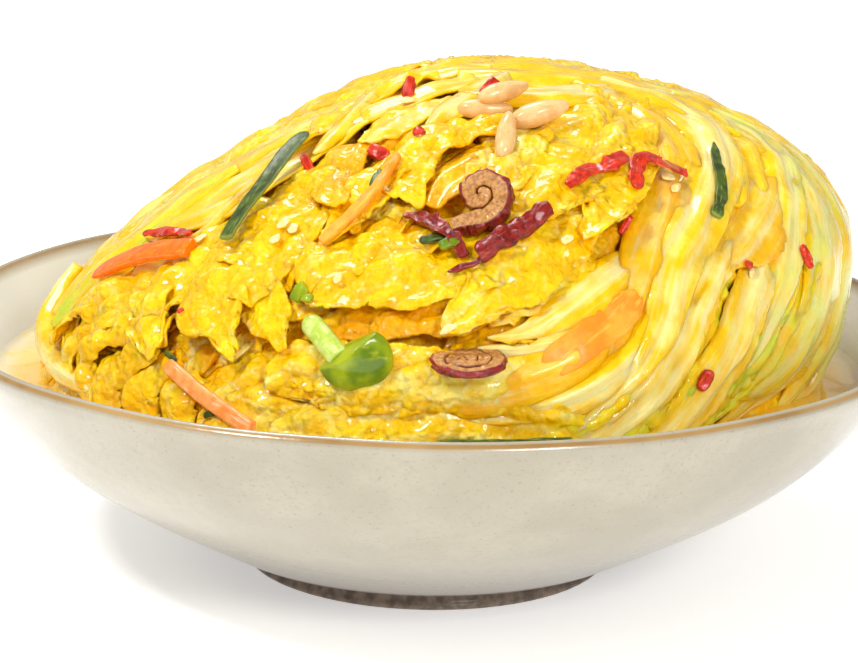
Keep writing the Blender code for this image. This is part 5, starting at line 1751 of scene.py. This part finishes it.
@dataclass
class Toppings:
    """Everything strewn over the cabbage."""

    strips: tuple[Strip, ...] = (
        Strip("carrot_strip_left", CARROT, 6.2, 2.6, ((-87, -19, 80), (-81, -25, 84), (-73, -35, 90), (-66, -43, 93), (-60, -50, 95)), ("carrot_strip_1",), 0.2, rough=0.1, taper=(0.35, 0.9), caps=(3.0, 0.0), stiff=True, seed=1),
        Strip("carrot_strip_upper", CARROT_SOAKED, 3.0, 1.8, ((-9, -54, 121), (-14, -64, 114), (-20, -70, 108), (-27, -75, 103)), ("carrot_strip_2",), 0.5, rough=0.2, taper=(0.6, 0.8), stiff=True, seed=2),
        Strip("carrot_strip_low", CARROT_PAINTED_SHEEN, 4.0, 2.6, ((-62, -77, 72), (-52, -87, 67), (-41, -95, 62)), ("carrot_strip_3",), 0.4, rough=0.08, taper=(0.9, 0.9), stiff=True, seed=3),
        Strip("carrot_strip_front", CARROT_SOAKED, 9.0, 1.6, ((50, -88, 95), (44, -93, 90), (36, -98, 85), (26, -103, 79)), ("carrot_strip_4",), 2.2, rough=0.2, taper=(0.5, 0.5), caps=(5.0, 5.0), seed=4),
        Strip("scallion_blade_left", SCALLION, 4.6, 1.3, ((-33, -17, 120), (-38, -28, 116), (-42, -39, 111), (-47, -48, 105), (-51, -56, 99)), ("scallion_strip_1",), -1.2, (-20, 12), bow=0.5, rough=0.06, taper=(0.6, 1.0), caps=(3.0, 0.0), pale_edge=0.7, stiff=True, seed=5),
        Strip("scallion_blade_right", SCALLION, 3.0, 1.0, ((71, -59, 108), (72, -51, 111), (72, -43, 115), (72, -38, 118), (72, -30, 121)), ("scallion_strip_2",), 0.3, bow=0.3, taper=(0.9, 0.2), jagged=0.4, pale_edge=0.3, seed=6),
        Strip("scallion_blade_rim", SCALLION, 3.0, 1.2, ((2, -108, 62), (18, -108, 62), (34, -105, 62)), ("scallion_strip_3",), 0.1, pale_edge=0.5, seed=7),
        Strip("scallion_stem", SCALLION_PALE, 5.6, 5.2, ((-30, -92, 88), (-26.5, -95, 85), (-21, -98, 80)), ("scallion_rod",), 1.0, rough=0.04, taper=(0.95, 1.0), caps=(3.0, 0.0), square=0.0, stiff=True, seed=8),
        Strip("chili_strip_a", CHILI, 4.4, 0.9, ((33, -69, 117), (38, -63, 120), (42, -60, 120), (48, -52, 122)), ("chili_strip_1",), -0.2, rough=0.22, taper=(0.5, 0.9), jagged=0.5, seed=10),
        Strip("chili_strip_b", CHILI, 4.2, 0.9, ((51, -65, 116), (51, -58, 119), (52, -52, 121), (55, -50, 121), (59, -50, 119), (64, -50, 117)), ("chili_strip_2",), -0.2, rough=0.2, taper=(0.4, 0.9), jagged=0.5, seed=11),
        Strip("chili_strip_c", CHILI, 2.8, 1.4, ((-75, -21, 92), (-67, -32, 95), (-60, -43, 97)), ("chili_strip_3",), -1.0, rough=0.25, taper=(0.2, 0.4), seed=12),
        Strip("jujube_strip_a", SKIN, 4.0, 1.2, ((-7, -75, 111), (-1, -78, 109), (4, -82, 107), (8, -87, 103)), ("jujube_strip_1",), -0.8, bow=0.8, rough=0.4, taper=(0.3, 0.6), jagged=0.6, seed=13),
        Strip("jujube_strip_b", SKIN, 5.2, 1.8, ((11, -87, 103), (17, -84, 107), (22, -81, 109), (28, -76, 113)), ("jujube_strip_2",), -0.8, (30, 20), bow=-0.9, rough=0.4, jagged=0.3, seed=14),
        Strip("jujube_strip_tail", SKIN, 1.7, 1.2, ((4, -91, 100), (9, -89, 101), (14, -87, 103)), (), -0.6, rough=0.3, taper=(0.2, 0.5), seed=15),
    )
    nuts: tuple[PineNut, ...] = (
        PineNut("pine_nut_1", (13.0, -38.0, 131.0), (1.0, 0.05, 0.0)),
        PineNut("pine_nut_2", (18, -26, 134), (0.9, 0.4, 0.2)),
        PineNut("pine_nut_3", (18, -51, 126), (0.12, 0.72, 0.68)),
        PineNut("pine_nut_4", (27, -39, 130), (0.95, 0.2, 0.28), 15.0, 3.4),
    )
    rolls: tuple[JujubeRoll, ...] = (
        JujubeRoll("jujube_slice_1", (11, -75, 113), (-0.25, -0.8, 0.55), (2.8, 5.4), 1.6, 5.4, arm=6.0, turned=63.0, mirrored=True, rise=2.4, seed=1),
        JujubeRoll("jujube_slice_2", (9, -103, 81), (0.0, -0.1, 1.0), (3.0, 3.5), 2.6, 2.4, turned=200.0, rise=0.6, seed=2),
    )
    pepper: PepperPiece = PepperPiece("green_pepper", (-17, -98, 80))
    flakes: Scraps = Scraps(
        "chili_flakes", CHILI,
        (
            ((-7, -16, 132), (3.3, 1.6, 0.4), 78), ((14, -23, 134), (3.4, 1.5, 0.5), 50),
            ((-32, -42, 116), (2.8, 1.2, 0.4), -60), ((94, -42, 94), (3.2, 1.1, 0.5), -65),
            ((78, -61, 96), (1.4, 1.0, 0.6), 10), ((67, -83, 72), (2.6, 1.6, 0.8), 60),
            ((47, -76, 109), (2.6, 1.0, 0.5), 60), ((-14, -51, 121), (2.9, 1.8, 0.8), -30),
            ((-4, -46, 126), (1.6, 1.2, 0.8), 10), ((-62, -70, 84), (0.9, 0.6, 0.4), 30),
        ),
        facing=0.75,
    )
    seeds: Scraps = Scraps(
        "chili_seeds", SEED,
        (
            ((-7, -25, 130), (1.9, 1.5, 0.6), 0), ((-36, -62, 104), (1.7, 1.3, 0.5), 30),
            ((-33, -64, 103), (1.6, 1.3, 0.5), 80), ((-38, -66, 101), (1.5, 1.2, 0.5), 10),
            ((59, -55, 117), (2.1, 1.5, 0.6), 20), ((61, -58, 115), (2.2, 1.0, 0.5), 60),
            ((78, -61, 94), (1.6, 0.8, 0.5), 70), ((105, -30, 58), (2.2, 0.9, 0.5), 20),
            ((-58, -48, 97), (2.2, 1.0, 0.5), 10), ((32, -82, 106), (1.9, 1.0, 0.5), 40),
            ((4, -100, 88), (2.0, 1.0, 0.5), 30), ((-22, -84, 96), (1.6, 1.0, 0.5), 70),
        ),
        flat=False,
    )
    greens: Scraps = Scraps(
        "green_bits", PEPPER,
        (((-31, -83, 92), (2.4, 1.8, 1.0), 40), ((-29, -85, 91), (1.5, 1.1, 0.7), -20), ((4, -84, 105), (2.6, 1.4, 0.8), 30)),
    )
    herbs: Scraps = Scraps(
        "dark_herb_bits", SCALLION,
        (((-50, -88, 64), (2.8, 0.8, 0.4), 20), ((-62, -76, 74), (2.6, 0.7, 0.4), -40), ((0, -83, 106), (3.2, 1.2, 0.6), 20), ((-14, -60, 116), (3.4, 0.9, 0.4), 70)),
    )

    def build(self, ground: Ground) -> None:
        """Makes every topping."""
        for part in (*self.strips, *self.nuts, *self.rolls, self.pepper, self.flakes, self.seeds, self.greens, self.herbs):
            part.build(ground)


# ---------------------------------------------------------------- studio


@dataclass
class Studio:
    """Pale floor, soft lights and the camera, in metres."""

    eye: Point = (-0.0003, -0.7334, 0.2485)
    pitch: float = 75.73
    roll: float = 1.063
    lens: float = 117.48
    floor_size: float = 12.0

    def build(self) -> None:
        """Sets the stage."""
        scene = bpy.context.scene
        scene.view_settings.view_transform = "Standard"
        world = bpy.data.worlds.new("soft_room")
        scene.world = world
        world.use_nodes = True
        background = world.node_tree.nodes["Background"]
        background.inputs["Color"].default_value = (1.0, 1.0, 1.0, 1.0)
        background.inputs["Strength"].default_value = 0.42
        self.floor()
        self.light("overhead", (-0.20, 0.45, 1.0), (0.0, 0.0, 0.08), (0.35, 0.25), 6.0)
        self.light("key", (-0.55, -0.45, 0.85), (0.0, 0.0, 0.08), (0.12, 0.12), 6.0)
        self.light("fill", (0.55, -1.2, 0.75), (0.0, 0.0, 0.07), (0.4, 0.3), 10.0)
        camera = bpy.data.cameras.new("camera")
        camera.lens = self.lens
        camera.sensor_width = 36.0
        camera.clip_start = 0.01
        stand = bpy.data.objects.new("camera", camera)
        stand.matrix_world = (
            Matrix.Translation(self.eye)
            @ Matrix.Rotation(math.radians(self.pitch), 4, "X")
            @ Matrix.Rotation(math.radians(self.roll), 4, "Z")
        )
        scene.collection.objects.link(stand)
        scene.camera = stand

    def floor(self) -> None:
        """Makes the pale floor."""
        form = bmesh.new()
        bmesh.ops.create_grid(form, x_segments=4, y_segments=4, size=self.floor_size / 2)
        mesh = bpy.data.meshes.new("floor")
        form.to_mesh(mesh)
        form.free()
        made, shader = start_material("lit_white_acrylic", {"Roughness": 0.8, "Emission Color": (1.0, 1.0, 1.0, 1.0), "Emission Strength": 0.42})
        tree = made.node_tree
        soft = noise_at(tree, object_coords(tree), 400.0, 2.0)
        shade = mix_colours(tree, soft, srgb("FAFAFA"), srgb("FCFCFC"))
        tree.links.new(shade, shader.inputs["Base Color"])
        mesh.materials.append(made)
        ground = bpy.data.objects.new("floor", mesh)
        bpy.context.scene.collection.objects.link(ground)

    def light(self, name: str, place: Point, target: Point, size: tuple[float, float], power: float) -> None:
        """Adds a soft rectangular light that looks at a point."""
        lamp = bpy.data.lights.new(name, "AREA")
        lamp.shape = "RECTANGLE"
        lamp.size, lamp.size_y = size
        lamp.energy = power
        holder = bpy.data.objects.new(name, lamp)
        holder.location = place
        holder.rotation_euler = (Vector(target) - Vector(place)).to_track_quat("-Z", "Y").to_euler()
        bpy.context.scene.collection.objects.link(holder)


# ---------------------------------------------------------------- all together


def main() -> None:
    """Builds every piece on the frame."""
    logging.basicConfig(level=logging.INFO, format="%(name)s: %(message)s")
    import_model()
    studio = Studio()
    studio.build()

    bowl_low, bowl_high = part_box("bowl")
    rim_line = 0.0026  # how far the rounded lip stands over the wall's end
    bowl = Bowl(rim_radius=(bowl_high[0] - bowl_low[0]) / 2, rim_height=bowl_high[2] - rim_line)
    bowl.build()
    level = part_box("broth")[1][2]
    Broth(level=level).build(bowl)

    mound = Mound(broth=level / MM, wall=bowl.wall_table())
    ground = Ground(mound, studio.eye)
    blade = LeafFinish().make("soaked_cabbage_blade")
    rib = LeafFinish(yellow="FFBE00", light_yellow="FFD01C", cream="FAE090", streaks=2.4, pucker=0.00012, thread=0.0007, veins=0.0, shine=0.16).make(
        "soaked_cabbage_rib"
    )
    Core().build(mound, ground, blade)
    BackLeaves().build(mound, ground, blade, rib)
    OuterLeaves().build(mound, ground, rib)
    HeartLeaves().build(mound, ground, blade, rib)
    Toppings().build(ground)


if __name__ == "__main__":
    main()
